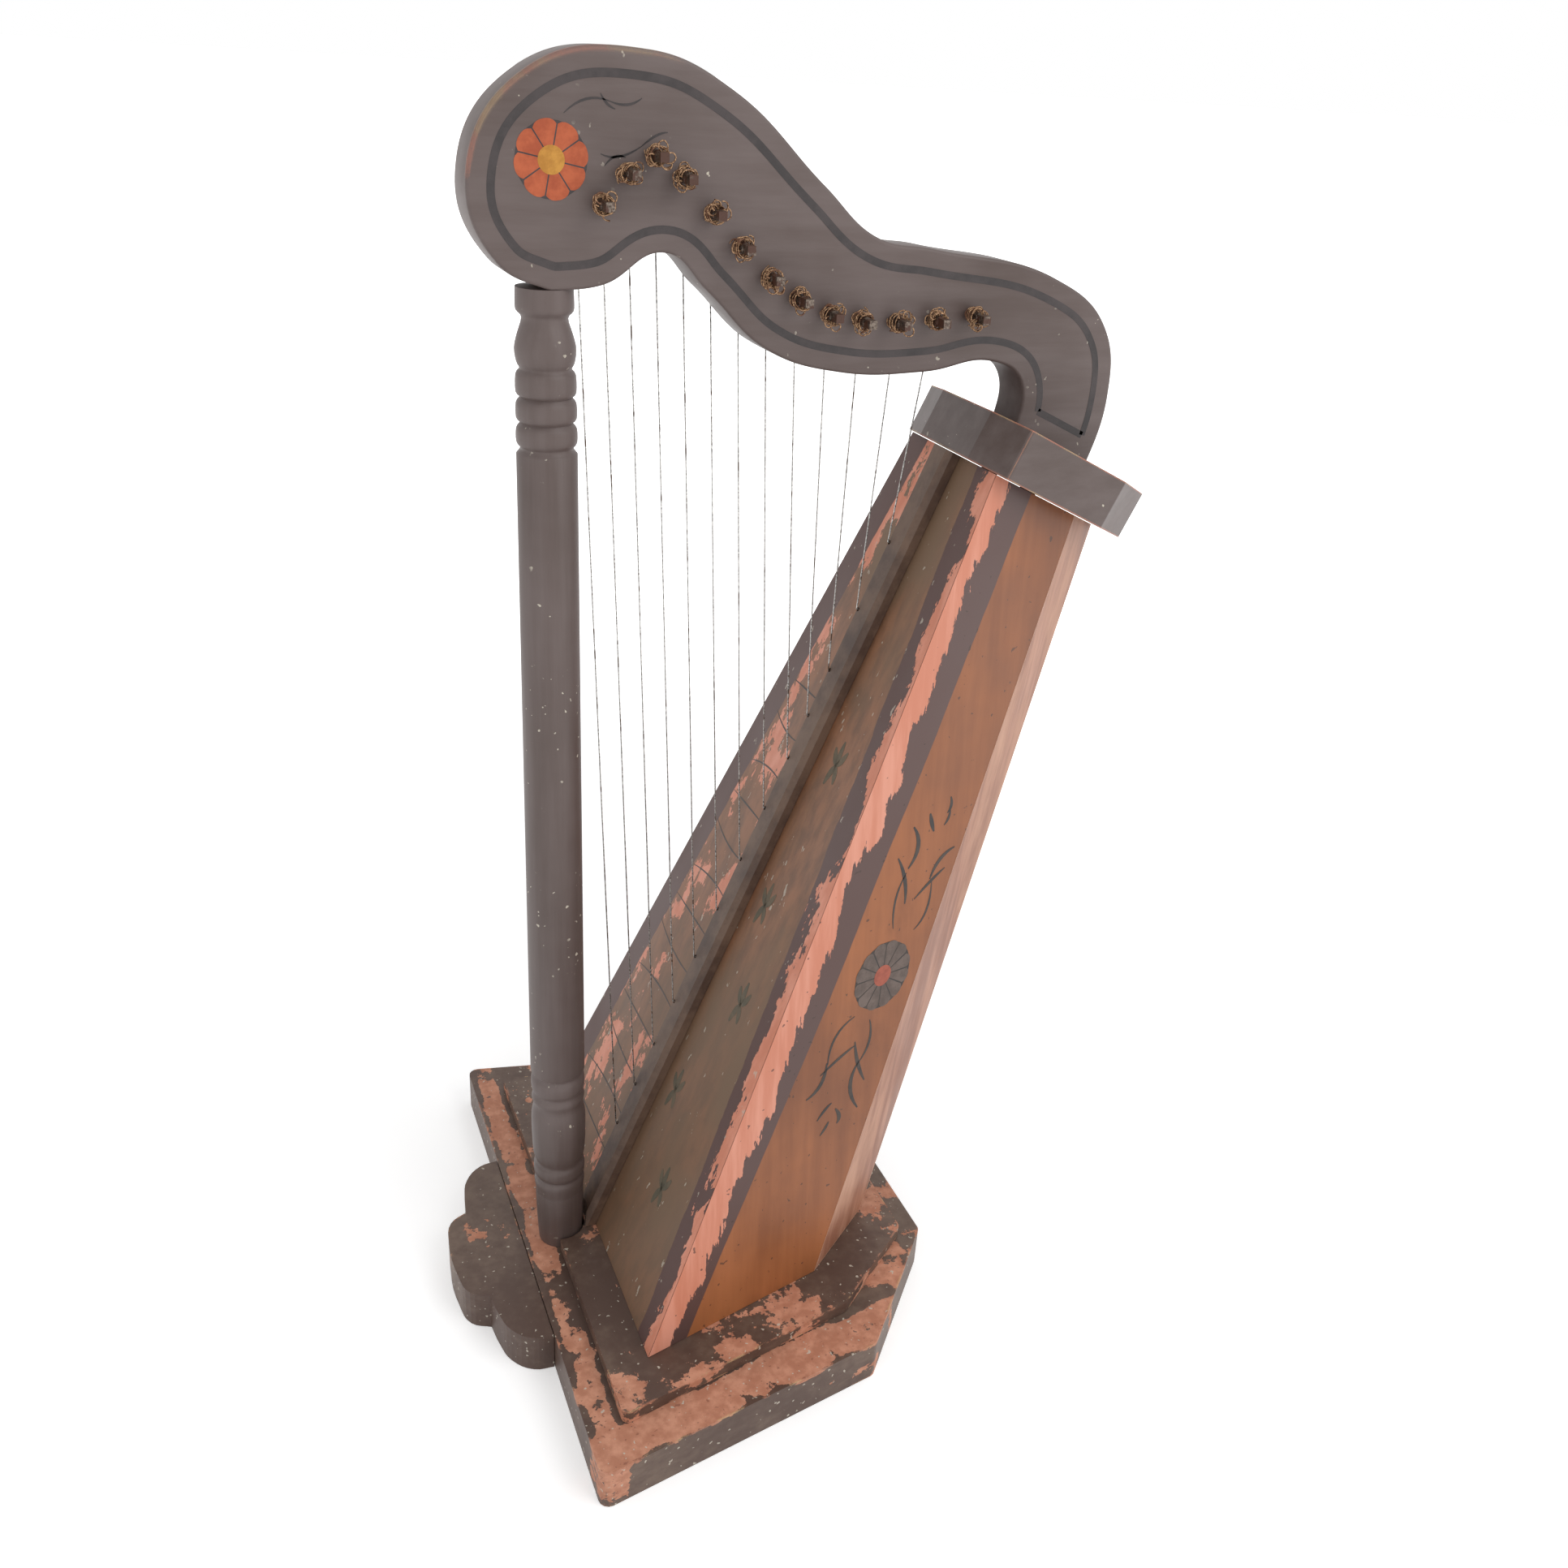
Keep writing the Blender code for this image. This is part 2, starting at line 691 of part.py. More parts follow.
# Tuning pin: a round shaft through the neck, with a squared near end for the key.
half_neck = NECK_THICK / 2
shaft = turned(
    "pin_shaft",
    [
        (0, half_neck + PIN_FAR_END),
        (0.7 * PIN_R, half_neck + PIN_FAR_END),
        (PIN_R, half_neck + PIN_FAR_END - 0.3 * PIN_R),
        (PIN_R, -half_neck - PIN_NEAR_END + PIN_SQUARE_LENGTH),
        (0.45 * PIN_SQUARE, -half_neck - PIN_NEAR_END + 0.8 * PIN_SQUARE_LENGTH),
        (0, -half_neck - PIN_NEAR_END + 0.8 * PIN_SQUARE_LENGTH),
    ],
    12,
)
helper = bpy.data.objects.new("pin_shaft", shaft)
harp.objects.link(helper)
builder = bmesh.new()
bmesh.ops.create_cube(builder, size=1.0)
bmesh.ops.scale(
    builder, vec=(PIN_SQUARE, PIN_SQUARE, PIN_SQUARE_LENGTH), verts=builder.verts
)
square = mesh_from(builder, "pin_square")
square.transform(
    Matrix.Translation((0, 0, -half_neck - PIN_NEAR_END + PIN_SQUARE_LENGTH / 2))
)
joined = cutter("pin_square", square)
joined.parent = None
union = helper.modifiers.new("square", "BOOLEAN")
union.operation = "UNION"
union.solver = "EXACT"
union.object = joined
pin_mesh = baked(helper, "tuning_pin")
bpy.data.objects.remove(joined, do_unlink=True)
pin_mesh.transform(Matrix.Rotation(-math.pi / 2, 4, "X"))

# Winding on the near end of a pin: open turns and a loose curled end.
wrap_r = PIN_R + GAP + WIRE_R
winding_path = []
winding_start = -half_neck - WIRE_R - 2 * GAP
steps = WINDING_TURNS * WRAP_POINTS
for step in range(steps + 1):
    angle = 2 * math.pi * step / WRAP_POINTS
    winding_path.append(
        Vector((
            wrap_r * math.cos(angle),
            winding_start - WINDING_PITCH * step / WRAP_POINTS,
            wrap_r * math.sin(angle),
        ))
    )
last = winding_path[-1]
for step in range(1, 5):
    angle = 2 * math.pi * step / WRAP_POINTS
    reach = wrap_r + 0.00045 * step
    winding_path.append(
        Vector((
            reach * math.cos(angle),
            last.y - WINDING_PITCH * step / WRAP_POINTS * 1.2,
            reach * math.sin(angle),
        ))
    )
tangent = (winding_path[-1] - winding_path[-2]).normalized()
winding_path.append(winding_path[-1] + tangent * 2 * WIRE_R)
least = min(
    (winding_path[i] - winding_path[j]).length
    for i in range(len(winding_path))
    for j in range(i + WRAP_POINTS - 2, len(winding_path))
)
print(f"winding: least gap to itself {1000 * (least - 2 * WIRE_R):.2f} mm")
winding_mesh = wire("winding", winding_path, WIRE_R)

pin_holes = []
string_holes = []
string_runs = []
string_plane = half_neck + STRING_CLEAR + WIRE_R
rib_clear = RIB_HEIGHT + WIRE_R + GAP
into_board = rib_clear + BOARD_THICK + KNOT_SIZE * WIRE_R + GAP
wrap_steps = WRAP_POINTS + 2
for index in range(STRINGS):
    number = f"{index + 1:02d}"
    share = index / (STRINGS - 1)
    pin_x, pin_z = on_neck((eased(PIN_REACH, share), eased(PIN_RISE, share)))
    place("tuning_pin_" + number, pin_mesh, STEEL, (pin_x, 0, pin_z))
    wound = place("winding_" + number, winding_mesh, RUSTY_WIRE, (pin_x, 0, pin_z))
    wound.rotation_euler = (0, math.radians(137.5 * index), 0)
    past = half_neck + OVERRUN
    pin_holes.append(((pin_x, -past, pin_z), (pin_x, past, pin_z)))
    # The string leaves the pin's column side and runs straight to the top of the rib.
    bend = board_foot + along * (eased(STRING_FEET, share) * BOARD_LENGTH)
    bend = Vector(bend + outward * rib_clear + across * 0.6 * RIB_HALF)
    run = Vector((bend.x - pin_x + wrap_r, bend.z - pin_z)).normalized()
    leave = math.atan2(-run.x, run.y)
    path = []
    for step in range(wrap_steps + 1):
        turned_by = (wrap_steps - step) / WRAP_POINTS
        angle = leave - 2 * math.pi * turned_by
        path.append(
            Vector((
                pin_x + wrap_r * math.cos(angle),
                string_plane + WRAP_PITCH * turned_by,
                pin_z + wrap_r * math.sin(angle),
            ))
        )
    string_runs.append((path[-1].copy(), bend.copy()))
    path.insert(0, path[0] + (path[0] - path[1]).normalized() * 2 * WIRE_R)
    knot = bend - Vector(outward) * into_board
    away = -Vector(outward) * WIRE_R
    radii = [1.0] * len(path)
    path += [bend, knot, knot + away, knot + away * 3, knot + away * 4]
    radii += [1.0, 1.0, KNOT_SIZE, KNOT_SIZE, 1.0]
    name = "string_" + number
    place(name, wire(name, path, WIRE_R, radii), STEEL)
    string_holes.append((bend + Vector(outward) * OVERRUN / 2, knot))

cut(neck, rods("pin_holes", pin_holes, PIN_R + GAP, 12))
string_cut = rods("string_holes", string_holes, STRING_HOLE_R, 8)
cut(rib, string_cut)
cut(panels["soundboard"], string_cut)

# Smooth shading on round and moulded pieces.
for piece in harp.objects:
    if piece.type == "MESH":
        piece.data.shade_smooth()
        piece.data.set_sharp_from_angle(angle=math.radians(35))

# The origin lies under the middle of the harp's box.
bpy.context.view_layer.update()
graph = bpy.context.evaluated_depsgraph_get()
xs = []
for piece in harp.objects:
    if piece.type == "MESH":
        evaluated = piece.evaluated_get(graph)
        mesh = evaluated.to_mesh()
        xs += [(evaluated.matrix_world @ v.co).x for v in mesh.vertices]
        evaluated.to_mesh_clear()
root.location = (-(min(xs) + max(xs)) / 2, 0, 0)
print(f"origin shift {root.location.x:.5f}")
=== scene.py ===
"""A worn painted table harp on a pale floor.

The neck and column are dark; the soundbox is peeling and carries a daisy and sprays.
"""

import math
import random

import bmesh
import bpy
import numpy as np
from mathutils import Matrix, Vector


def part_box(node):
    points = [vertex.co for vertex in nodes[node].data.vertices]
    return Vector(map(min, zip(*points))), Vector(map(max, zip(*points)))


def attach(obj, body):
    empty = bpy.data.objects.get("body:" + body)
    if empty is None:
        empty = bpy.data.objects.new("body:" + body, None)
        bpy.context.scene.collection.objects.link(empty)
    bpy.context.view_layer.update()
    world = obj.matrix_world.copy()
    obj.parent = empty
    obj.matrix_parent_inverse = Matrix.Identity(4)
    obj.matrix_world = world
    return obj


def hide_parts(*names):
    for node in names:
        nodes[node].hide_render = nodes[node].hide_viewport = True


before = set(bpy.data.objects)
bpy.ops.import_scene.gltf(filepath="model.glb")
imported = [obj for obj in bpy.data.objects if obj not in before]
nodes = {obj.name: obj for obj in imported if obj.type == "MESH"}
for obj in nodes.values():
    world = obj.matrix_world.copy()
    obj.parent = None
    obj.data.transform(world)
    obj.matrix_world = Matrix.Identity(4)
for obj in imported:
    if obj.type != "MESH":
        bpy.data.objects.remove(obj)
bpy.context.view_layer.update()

# The slab's front edge is the origin of the drawing; lengths are in metres.
X0 = float(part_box("base_slab")[0][0])
NECK_HALF = float(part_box("neck")[1][1])

# Painted details lie this far off their panel, and each further coat this far off the last.
PAINT_OFF = 0.00006
COAT = 0.00005
FILM = 0.00004


def srgb(red, green, blue):
    """Linear colour from display values out of 255."""
    out = []
    for value in (red, green, blue):
        value = value / 255
        out.append(value / 12.92 if value <= 0.04045 else ((value + 0.055) / 1.055) ** 2.4)
    return (*out, 1.0)


class Nodes:
    """A short way to write a node material."""

    def __init__(self, name):
        self.material = bpy.data.materials.new(name)
        self.material.use_nodes = True
        self.tree = self.material.node_tree
        self.shader = self.tree.nodes["Principled BSDF"]
        self.position = self.add("ShaderNodeTexCoord").outputs["Object"]

    def add(self, kind, **settings):
        node = self.tree.nodes.new(kind)
        for key, value in settings.items():
            setattr(node, key, value)
        return node

    def put(self, socket, value):
        if isinstance(value, bpy.types.NodeSocket):
            self.tree.links.new(value, socket)
        else:
            socket.default_value = value

    def math(self, operation, a, b=0.0, c=0.0):
        node = self.add("ShaderNodeMath", operation=operation)
        for socket, value in zip(node.inputs, (a, b, c)):
            self.put(socket, value)
        return node.outputs[0]

    def dot(self, axis, at):
        """Length along an axis from a point."""
        less = self.add("ShaderNodeVectorMath", operation="SUBTRACT")
        self.put(less.inputs[0], self.position)
        less.inputs[1].default_value = tuple(at)
        node = self.add("ShaderNodeVectorMath", operation="DOT_PRODUCT")
        self.put(node.inputs[0], less.outputs[0])
        node.inputs[1].default_value = tuple(axis)
        return node.outputs["Value"]

    def off_line(self, at, along):
        """Distance from a straight line."""
        less = self.add("ShaderNodeVectorMath", operation="SUBTRACT")
        self.put(less.inputs[0], self.position)
        less.inputs[1].default_value = tuple(at)
        crossed = self.add("ShaderNodeVectorMath", operation="CROSS_PRODUCT")
        self.put(crossed.inputs[0], less.outputs[0])
        crossed.inputs[1].default_value = tuple(along)
        length = self.add("ShaderNodeVectorMath", operation="LENGTH")
        self.put(length.inputs[0], crossed.outputs[0])
        return length.outputs["Value"]

    def noise(self, scale, detail=4.0, rough=0.55, stretch=(1, 1, 1), shift=0.0, turn=(0, 0, 0)):
        mapped = self.add("ShaderNodeMapping")
        self.put(mapped.inputs["Vector"], self.position)
        mapped.inputs["Location"].default_value = (shift, 2 * shift, 3 * shift)
        mapped.inputs["Rotation"].default_value = turn
        mapped.inputs["Scale"].default_value = stretch
        node = self.add("ShaderNodeTexNoise")
        self.put(node.inputs["Vector"], mapped.outputs[0])
        node.inputs["Scale"].default_value = scale
        node.inputs["Detail"].default_value = detail
        node.inputs["Roughness"].default_value = rough
        return node.outputs[0]

    def ramp(self, value, low, high, out_low=0.0, out_high=1.0):
        node = self.add("ShaderNodeMapRange", interpolation_type="SMOOTHSTEP")
        values = (value, low, high, out_low, out_high)
        for key, number in zip(("Value", "From Min", "From Max", "To Min", "To Max"), values):
            self.put(node.inputs[key], number)
        return node.outputs[0]

    def mix(self, amount, a, b):
        node = self.add("ShaderNodeMix", data_type="RGBA")
        self.put(node.inputs[0], amount)
        self.put(node.inputs[6], a)
        self.put(node.inputs[7], b)
        return node.outputs[2]

    def edges(self, radius=0.0016):
        """How near a sharp edge lies, from 0 to 1."""
        bevel = self.add("ShaderNodeBevel", samples=4)
        bevel.inputs["Radius"].default_value = radius
        flat = self.add("ShaderNodeNewGeometry")
        node = self.add("ShaderNodeVectorMath", operation="DOT_PRODUCT")
        self.put(node.inputs[0], bevel.outputs[0])
        self.put(node.inputs[1], flat.outputs["Normal"])
        return self.ramp(node.outputs["Value"], 0.97, 0.80)

    def finish(self, colour, roughness, bump=None, strength=0.3, distance=0.0003, metallic=0.0):
        self.put(self.shader.inputs["Base Color"], colour)
        self.put(self.shader.inputs["Roughness"], roughness)
        self.put(self.shader.inputs["Metallic"], metallic)
        if bump is not None:
            node = self.add("ShaderNodeBump")
            node.inputs["Strength"].default_value = strength
            node.inputs["Distance"].default_value = distance
            self.put(node.inputs["Height"], bump)
            self.put(self.shader.inputs["Normal"], node.outputs[0])
        return self.material


DARK = srgb(86, 71, 66)
DARK_PALE = srgb(114, 101, 98)
MAROON = srgb(88, 62, 57)
SALMON = srgb(232, 158, 133)
SALMON_DEEP = srgb(216, 136, 108)
CREAM = srgb(214, 178, 132)
CHIP = srgb(205, 196, 180)


def dark_paint(name, stretch, wear, specks=0.71, chip=0.0, head=0.0):
    """Brushed dark grey-brown paint, worn to bare wood along its edges."""
    n = Nodes(name)
    broad = n.noise(9, 4, 0.6)
    grain = n.noise(120, 5, 0.6, stretch)
    fine = n.noise(900, 2, 0.5)
    tone = n.math("ADD", n.math("MULTIPLY", broad, 0.9), n.math("MULTIPLY", grain, 0.5))
    colour = n.mix(n.ramp(tone, 0.45, 0.95), DARK, DARK_PALE)
    speck = n.ramp(n.noise(330, 1.5, 0.5, shift=3.1), specks, specks + 0.02)
    patch = n.ramp(n.noise(26, 3, 0.6, shift=5.2), 0.52, 0.62)
    colour = n.mix(n.math("MULTIPLY", speck, patch), colour, CHIP)
    worn = n.math("ADD", n.math("MULTIPLY", n.edges(), wear), n.noise(70, 5, 0.65, shift=1.7))
    if chip or head:
        wide = n.edges(0.0042)
        rubbed = n.dot((-0.45, 0, 0.89), (X0 + 0.02, 0, 0.545))
        share = n.ramp(rubbed, 0.0, 0.015, chip, head)
        worn = n.math("ADD", worn, n.math("MULTIPLY", wide, share))
    bare = n.ramp(worn, 1.02, 1.06)
    under = n.mix(n.ramp(n.noise(60, 3, shift=2), 0.45, 0.6), SALMON_DEEP, CREAM)
    colour = n.mix(bare, colour, under)
    height = n.math("ADD", n.math("MULTIPLY", grain, 0.7), n.math("MULTIPLY", bare, -0.8))
    height = n.math("ADD", height, n.math("MULTIPLY", fine, 0.15))
    rough = n.ramp(broad, 0.3, 0.7, 0.42, 0.58)
    return n.finish(colour, rough, height, 0.45, 0.00025)


def peeled_paint(name, amount, shift, stretch=(1, 1, 1), strips=(), top=None):
    """Dark paint that has flaked off in patches, down to a salmon undercoat and bare wood.

    Each strip is an axis across it, a point on its middle, its half width and how much more
    has flaked there. Below top, the sheer sides have flaked less.
    """
    n = Nodes(name)
    broad = n.noise(12, 5, 0.6, shift=shift)
    flakes = n.noise(30, 7, 0.66, stretch, shift + 4)
    grain = n.noise(160, 4, 0.6, stretch, shift + 1)
    edge = n.edges(0.002)
    lift = n.math("ADD", flakes, n.math("MULTIPLY", edge, 0.05))
    lift = n.math("ADD", lift, n.math("MULTIPLY", n.math("SUBTRACT", broad, 0.5), 0.35))
    for axis, middle, half, gain in strips:
        off = n.math("ABSOLUTE", n.dot(axis, (X0 + middle[0], middle[1], 0)))
        lift = n.math("ADD", lift, n.ramp(off, half * 1.3, half * 0.7, 0.0, gain))
    if top is not None:
        below = n.dot((0, 0, 1), (0, 0, top))
        lift = n.math("ADD", lift, n.ramp(below, -0.0010, -0.0035, 0.0, -0.15))
    gone = n.ramp(lift, amount, amount + 0.012)
    tone = n.math("ADD", n.math("MULTIPLY", broad, 0.8), n.math("MULTIPLY", grain, 0.4))
    dark = n.mix(n.ramp(tone, 0.45, 0.8), srgb(84, 62, 52), srgb(118, 98, 84))
    rose = n.mix(n.ramp(grain, 0.35, 0.7), srgb(184, 124, 97), srgb(212, 152, 124))
    pale = n.ramp(n.noise(60, 4, 0.6, shift=shift + 9), 0.52, 0.60)
    bare = n.math("MULTIPLY", n.ramp(edge, 0.5, 0.9), pale)
    rose = n.mix(bare, rose, CREAM)
    dirt = n.ramp(n.noise(420, 2, 0.5, shift=shift + 7), 0.66, 0.7)
    rose = n.mix(n.math("MULTIPLY", dirt, 0.5), rose, srgb(120, 70, 56))
    colour = n.mix(gone, dark, rose)
    speck = n.ramp(n.noise(380, 1.5, 0.5, shift=shift + 2), 0.70, 0.72)
    colour = n.mix(n.math("MULTIPLY", speck, 0.8), colour, CHIP)
    height = n.math("ADD", n.math("MULTIPLY", gone, -1.0), n.math("MULTIPLY", grain, 0.25))
    return n.finish(colour, n.ramp(gone, 0, 1, 0.5, 0.68), height, 0.5, 0.0003)


# Soundbox frame: where its front arris and its panels lie.
board_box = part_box("soundboard")
TILT = math.radians(22.8)
FOOT_X = X0 + 0.0365
FOOT_Z = float(board_box[0][2])
FOOT_HALF = 0.1000
TOP_HALF = 0.0395
ALONG = Vector((math.sin(TILT), 0, math.cos(TILT)))
OUT = Vector((-math.cos(TILT), 0, math.sin(TILT)))
BOARD_FOOT = Vector((FOOT_X, 0, FOOT_Z))
BOARD_LENGTH = 0.4318
near_low = BOARD_FOOT + Vector((0, -FOOT_HALF, 0))
near_high = BOARD_FOOT + ALONG * BOARD_LENGTH + Vector((0, -TOP_HALF, 0))
ARRIS = (near_high - near_low).normalized()
side_back = Vector((FOOT_X + 0.0959, -0.0751, FOOT_Z))
SIDE_OUT = ARRIS.cross(side_back - near_low).normalized()
if SIDE_OUT.y > 0:
    SIDE_OUT = -SIDE_OUT
SIDE_ACROSS = SIDE_OUT.cross(ARRIS).normalized()
if SIDE_ACROSS.x < 0:
    SIDE_ACROSS = -SIDE_ACROSS


def amber_panel(name, near, streak):
    """Orange-brown stain with a dark border along the front arris, which has peeled."""
    flip = 1 if near else -1
    at = (near_low.x, near_low.y * flip, near_low.z)
    along = (ARRIS.x, ARRIS.y * flip, ARRIS.z)
    n = Nodes(name)
    lean = (0, -TILT, 0)
    broad = n.noise(8, 4, 0.6, shift=2)
    grain = n.noise(110, 5, 0.6, (1, 1, 0.07), 1, lean)
    dapple = n.noise(38, 5, 0.65, (1, 1, 0.5), 6, lean)
    tone = n.math("ADD", n.math("MULTIPLY", broad, 0.75), n.math("MULTIPLY", grain, 0.35))
    colour = n.mix(n.ramp(tone, 0.38, 0.75), srgb(128, 73, 38), srgb(170, 103, 60))
    colour = n.mix(n.ramp(dapple, 0.55, 0.8, 0, 0.45), colour, srgb(110, 60, 28))
    away = n.off_line(at, along)
    wander = n.noise(22, 5, 0.6, (1, 1, 0.35), 3, lean)
    dark = n.math("ADD", away, n.math("MULTIPLY", n.math("SUBTRACT", wander, 0.5), 0.0035))
    up = n.dot(along, at)
    wide = n.ramp(up, 0.0, 0.22, 0.0195, 0.0255)
    border = n.ramp(n.math("SUBTRACT", dark, wide), 0.0003, -0.0003)
    colour = n.mix(border, colour, MAROON)
    flaked = n.noise(46, 7, 0.68, (1, 1, 0.3), 9, lean)
    reach = n.math("ADD", away, n.math("MULTIPLY", n.math("SUBTRACT", flaked, 0.5), -0.034))
    fibres = n.noise(260, 3, 0.6, (1, 1, 0.08), 12, lean)
    reach = n.math("ADD", reach, n.math("MULTIPLY", n.math("SUBTRACT", fibres, 0.5), -0.009))
    peel = n.ramp(reach, streak, streak - 0.0004)
    rose = n.mix(n.ramp(grain, 0.4, 0.65), SALMON_DEEP, SALMON)
    colour = n.mix(peel, colour, rose)
    speck = n.ramp(n.noise(300, 1.5, 0.5, shift=8), 0.72, 0.74)
    colour = n.mix(n.math("MULTIPLY", speck, 0.7), colour, srgb(60, 40, 30))
    height = n.math("ADD", n.math("MULTIPLY", peel, -1.0), n.math("MULTIPLY", grain, 0.5))
    return n.finish(colour, n.ramp(broad, 0.3, 0.7, 0.32, 0.46), height, 0.4, 0.0002)


def faded_panel(name, flip):
    """Stain on the corner facet, bleached along its front edge."""
    n = Nodes(name)
    lean = (0, -TILT, 0)
    grain = n.noise(120, 5, 0.6, (1, 1, 0.07), 3, lean)
    broad = n.noise(16, 5, 0.6, (1, 1, 0.4), 5 + flip, lean)
    colour = n.mix(n.ramp(grain, 0.35, 0.7), srgb(150, 96, 72), srgb(190, 136, 110))
    colour = n.mix(n.ramp(broad, 0.5, 0.72), colour, srgb(208, 160, 134))
    edge = n.ramp(n.math("ADD", n.edges(), broad), 1.2, 1.3)
    colour = n.mix(edge, colour, srgb(224, 176, 146))
    return n.finish(colour, n.ramp(broad, 0.3, 0.7, 0.4, 0.6), grain, 0.3, 0.0002)


def soundboard_paint():
    """Faded field between dark borders; the far half has flaked to its undercoat."""
    n = Nodes("soundboard_paint")
    lean = (0, -TILT, 0)
    y = n.dot((0, 1, 0), (0, 0, 0))
    run = n.dot(ALONG, BOARD_FOOT)
    rate = (FOOT_HALF - TOP_HALF) / BOARD_LENGTH
    half = n.math("SUBTRACT", FOOT_HALF, n.math("MULTIPLY", run, rate))
    inset = n.math("SUBTRACT", half, n.math("ABSOLUTE", y))
    far = n.ramp(y, -0.001, 0.001)
    grain = n.noise(120, 5, 0.6, (1, 1, 0.06), 1, lean)
    broad = n.noise(10, 4, 0.6, (1, 1, 0.5), 7, lean)
    field = n.mix(n.ramp(grain, 0.3, 0.7), srgb(114, 80, 58), srgb(150, 102, 72))
    field = n.mix(n.ramp(broad, 0.42, 0.62), field, srgb(124, 98, 76))
    low = n.ramp(run, 0.20, 0.02, 0.0, 0.55)
    field = n.mix(low, field, srgb(112, 90, 70))
    flaked = n.noise(42, 7, 0.7, (1, 1, 0.35), 4, lean)
    chips = n.math("SUBTRACT", flaked, 0.5)
    gone = n.ramp(n.math("ADD", flaked, n.math("MULTIPLY", far, 0.055)), 0.575, 0.585)
    strip = n.math("MULTIPLY", far, n.ramp(inset, 0.014, 0.016))
    rose = n.mix(n.ramp(grain, 0.35, 0.7), SALMON_DEEP, SALMON)
    field = n.mix(n.math("MULTIPLY", gone, strip), field, rose)
    wander = n.math("ADD", inset, n.math("MULTIPLY", chips, 0.006))
    border = n.ramp(wander, 0.0165, 0.0158)
    edged = n.mix(border, field, MAROON)
    near = n.math("SUBTRACT", 1.0, far)
    reach = n.math("ADD", inset, n.math("MULTIPLY", chips, -0.042))
    fibres = n.noise(260, 3, 0.6, (1, 1, 0.08), 12, lean)
    reach = n.math("ADD", reach, n.math("MULTIPLY", n.math("SUBTRACT", fibres, 0.5), -0.012))
    peel = n.math("MULTIPLY", n.ramp(reach, 0.0065, 0.0060), near)
    colour = n.mix(peel, edged, rose)
    scratch = n.ramp(n.noise(240, 3, 0.6, (1, 1, 0.3), 9, lean), 0.68, 0.70)
    colour = n.mix(n.math("MULTIPLY", scratch, 0.6), colour, CHIP)
    height = n.math("ADD", n.math("MULTIPLY", peel, -1.0), n.math("MULTIPLY", grain, 0.4))
    return n.finish(colour, n.ramp(broad, 0.3, 0.7, 0.45, 0.62), height, 0.45, 0.00025)


def plain_paint(name, low, high, scale=40, roughness=0.55, bump=0.25):
    """A brushed paint in two close tones."""
    n = Nodes(name)
    broad = n.noise(scale, 5, 0.65)
    fine = n.noise(scale * 9, 3, 0.6, shift=2)
    colour = n.mix(n.ramp(broad, 0.35, 0.65), srgb(*low), srgb(*high))
    colour = n.mix(n.ramp(fine, 0.55, 0.8, 0, 0.4), colour, srgb(*low))
    return n.finish(colour, roughness, fine, bump, 0.0001)


def metal(name, low, high, rust, amount, roughness):
    """Drawn wire or pin steel with rust in patches."""
    n = Nodes(name)
    broad = n.noise(160, 4, 0.6)
    fine = n.noise(1400, 3, 0.6, shift=4)
    # The high tone is the steel's own pale colour and, on the rusty wire, also painted glints.
    tone_and_glints = n.mix(n.ramp(fine, 0.35, 0.65), srgb(*low), srgb(*high))
    spot = n.ramp(broad, amount, amount + 0.08)
    colour = n.mix(spot, tone_and_glints, srgb(*rust))
    return n.finish(
        colour,
        n.ramp(fine, 0.3, 0.7, roughness, roughness + 0.2),
        fine,
        0.3,
        0.0001,
        n.ramp(spot, 0, 1, 0.9, 0.25),
    )


def dress(piece, material):
    piece.data.materials.clear()
    piece.data.materials.append(material)


def soften(piece, width, segments=2, angle=30):
    step = piece.modifiers.new("worn_edges", "BEVEL")
    step.width = width
    step.segments = segments
    step.limit_method = "ANGLE"
    step.angle_limit = math.radians(angle)
    step.harden_normals = False


def add(name, mesh, material, body="frame", stands_for=()):
    piece = bpy.data.objects.new(name, mesh)
    bpy.context.scene.collection.objects.link(piece)
    mesh.materials.clear()
    mesh.materials.append(material)
    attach(piece, body)
    if stands_for:
        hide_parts(*stands_for)
    if not stands_for:
        film = piece.modifiers.new("paint_film", "SOLIDIFY")
        film.thickness = FILM
        film.offset = 0
    return piece


def evaluated(helper, name):
    """The mesh of a helper object after its curve and modifiers are worked out."""
    bpy.context.view_layer.update()
    graph = bpy.context.evaluated_depsgraph_get()
    mesh = bpy.data.meshes.new_from_object(helper.evaluated_get(graph))
    mesh.transform(helper.matrix_world)
    mesh.name = name
    bpy.data.objects.remove(helper, do_unlink=True)
    return mesh


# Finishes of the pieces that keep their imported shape.
SLAB_STRIPS = (
    ((0.188, -0.982, 0), (-0.0020, -0.1397), 0.0098, 0.20),
    ((1, 0, 0), (0.0085, 0), 0.0055, 0.13),
)
PLINTH_STRIPS = (((0.223, -0.975, 0), (0.0152, -0.1217), 0.0060, 0.07),)
for name, amount, shift, strips, top in (
    ("base_slab", 0.56, 0.0, SLAB_STRIPS, 0.022),
    ("plinth", 0.57, 3.0, PLINTH_STRIPS, None),
    ("front_foot", 0.63, 8.0, (), None),
):
    dress(nodes[name], peeled_paint(name + "_paint", amount, shift, (1, 1, 1.6), strips, top))
    soften(nodes[name], 0.0012 if name != "plinth" else 0.0007)
dress(nodes["cap"], dark_paint("cap_paint", (0.3, 1, 1), 0.60, chip=0.16, head=0.16))
soften(nodes["cap"], 0.0008)
dress(nodes["string_rib"], plain_paint("rib_paint", (72, 52, 42), (112, 88, 72), 30))
dress(nodes["soundboard"], soundboard_paint())
dress(nodes["near_side_panel"], amber_panel("near_side_stain", True, 0.0120))
dress(nodes["far_side_panel"], amber_panel("far_side_stain", False, -0.0040))
dress(nodes["near_rear_panel"], faded_panel("near_rear_stain", 0))
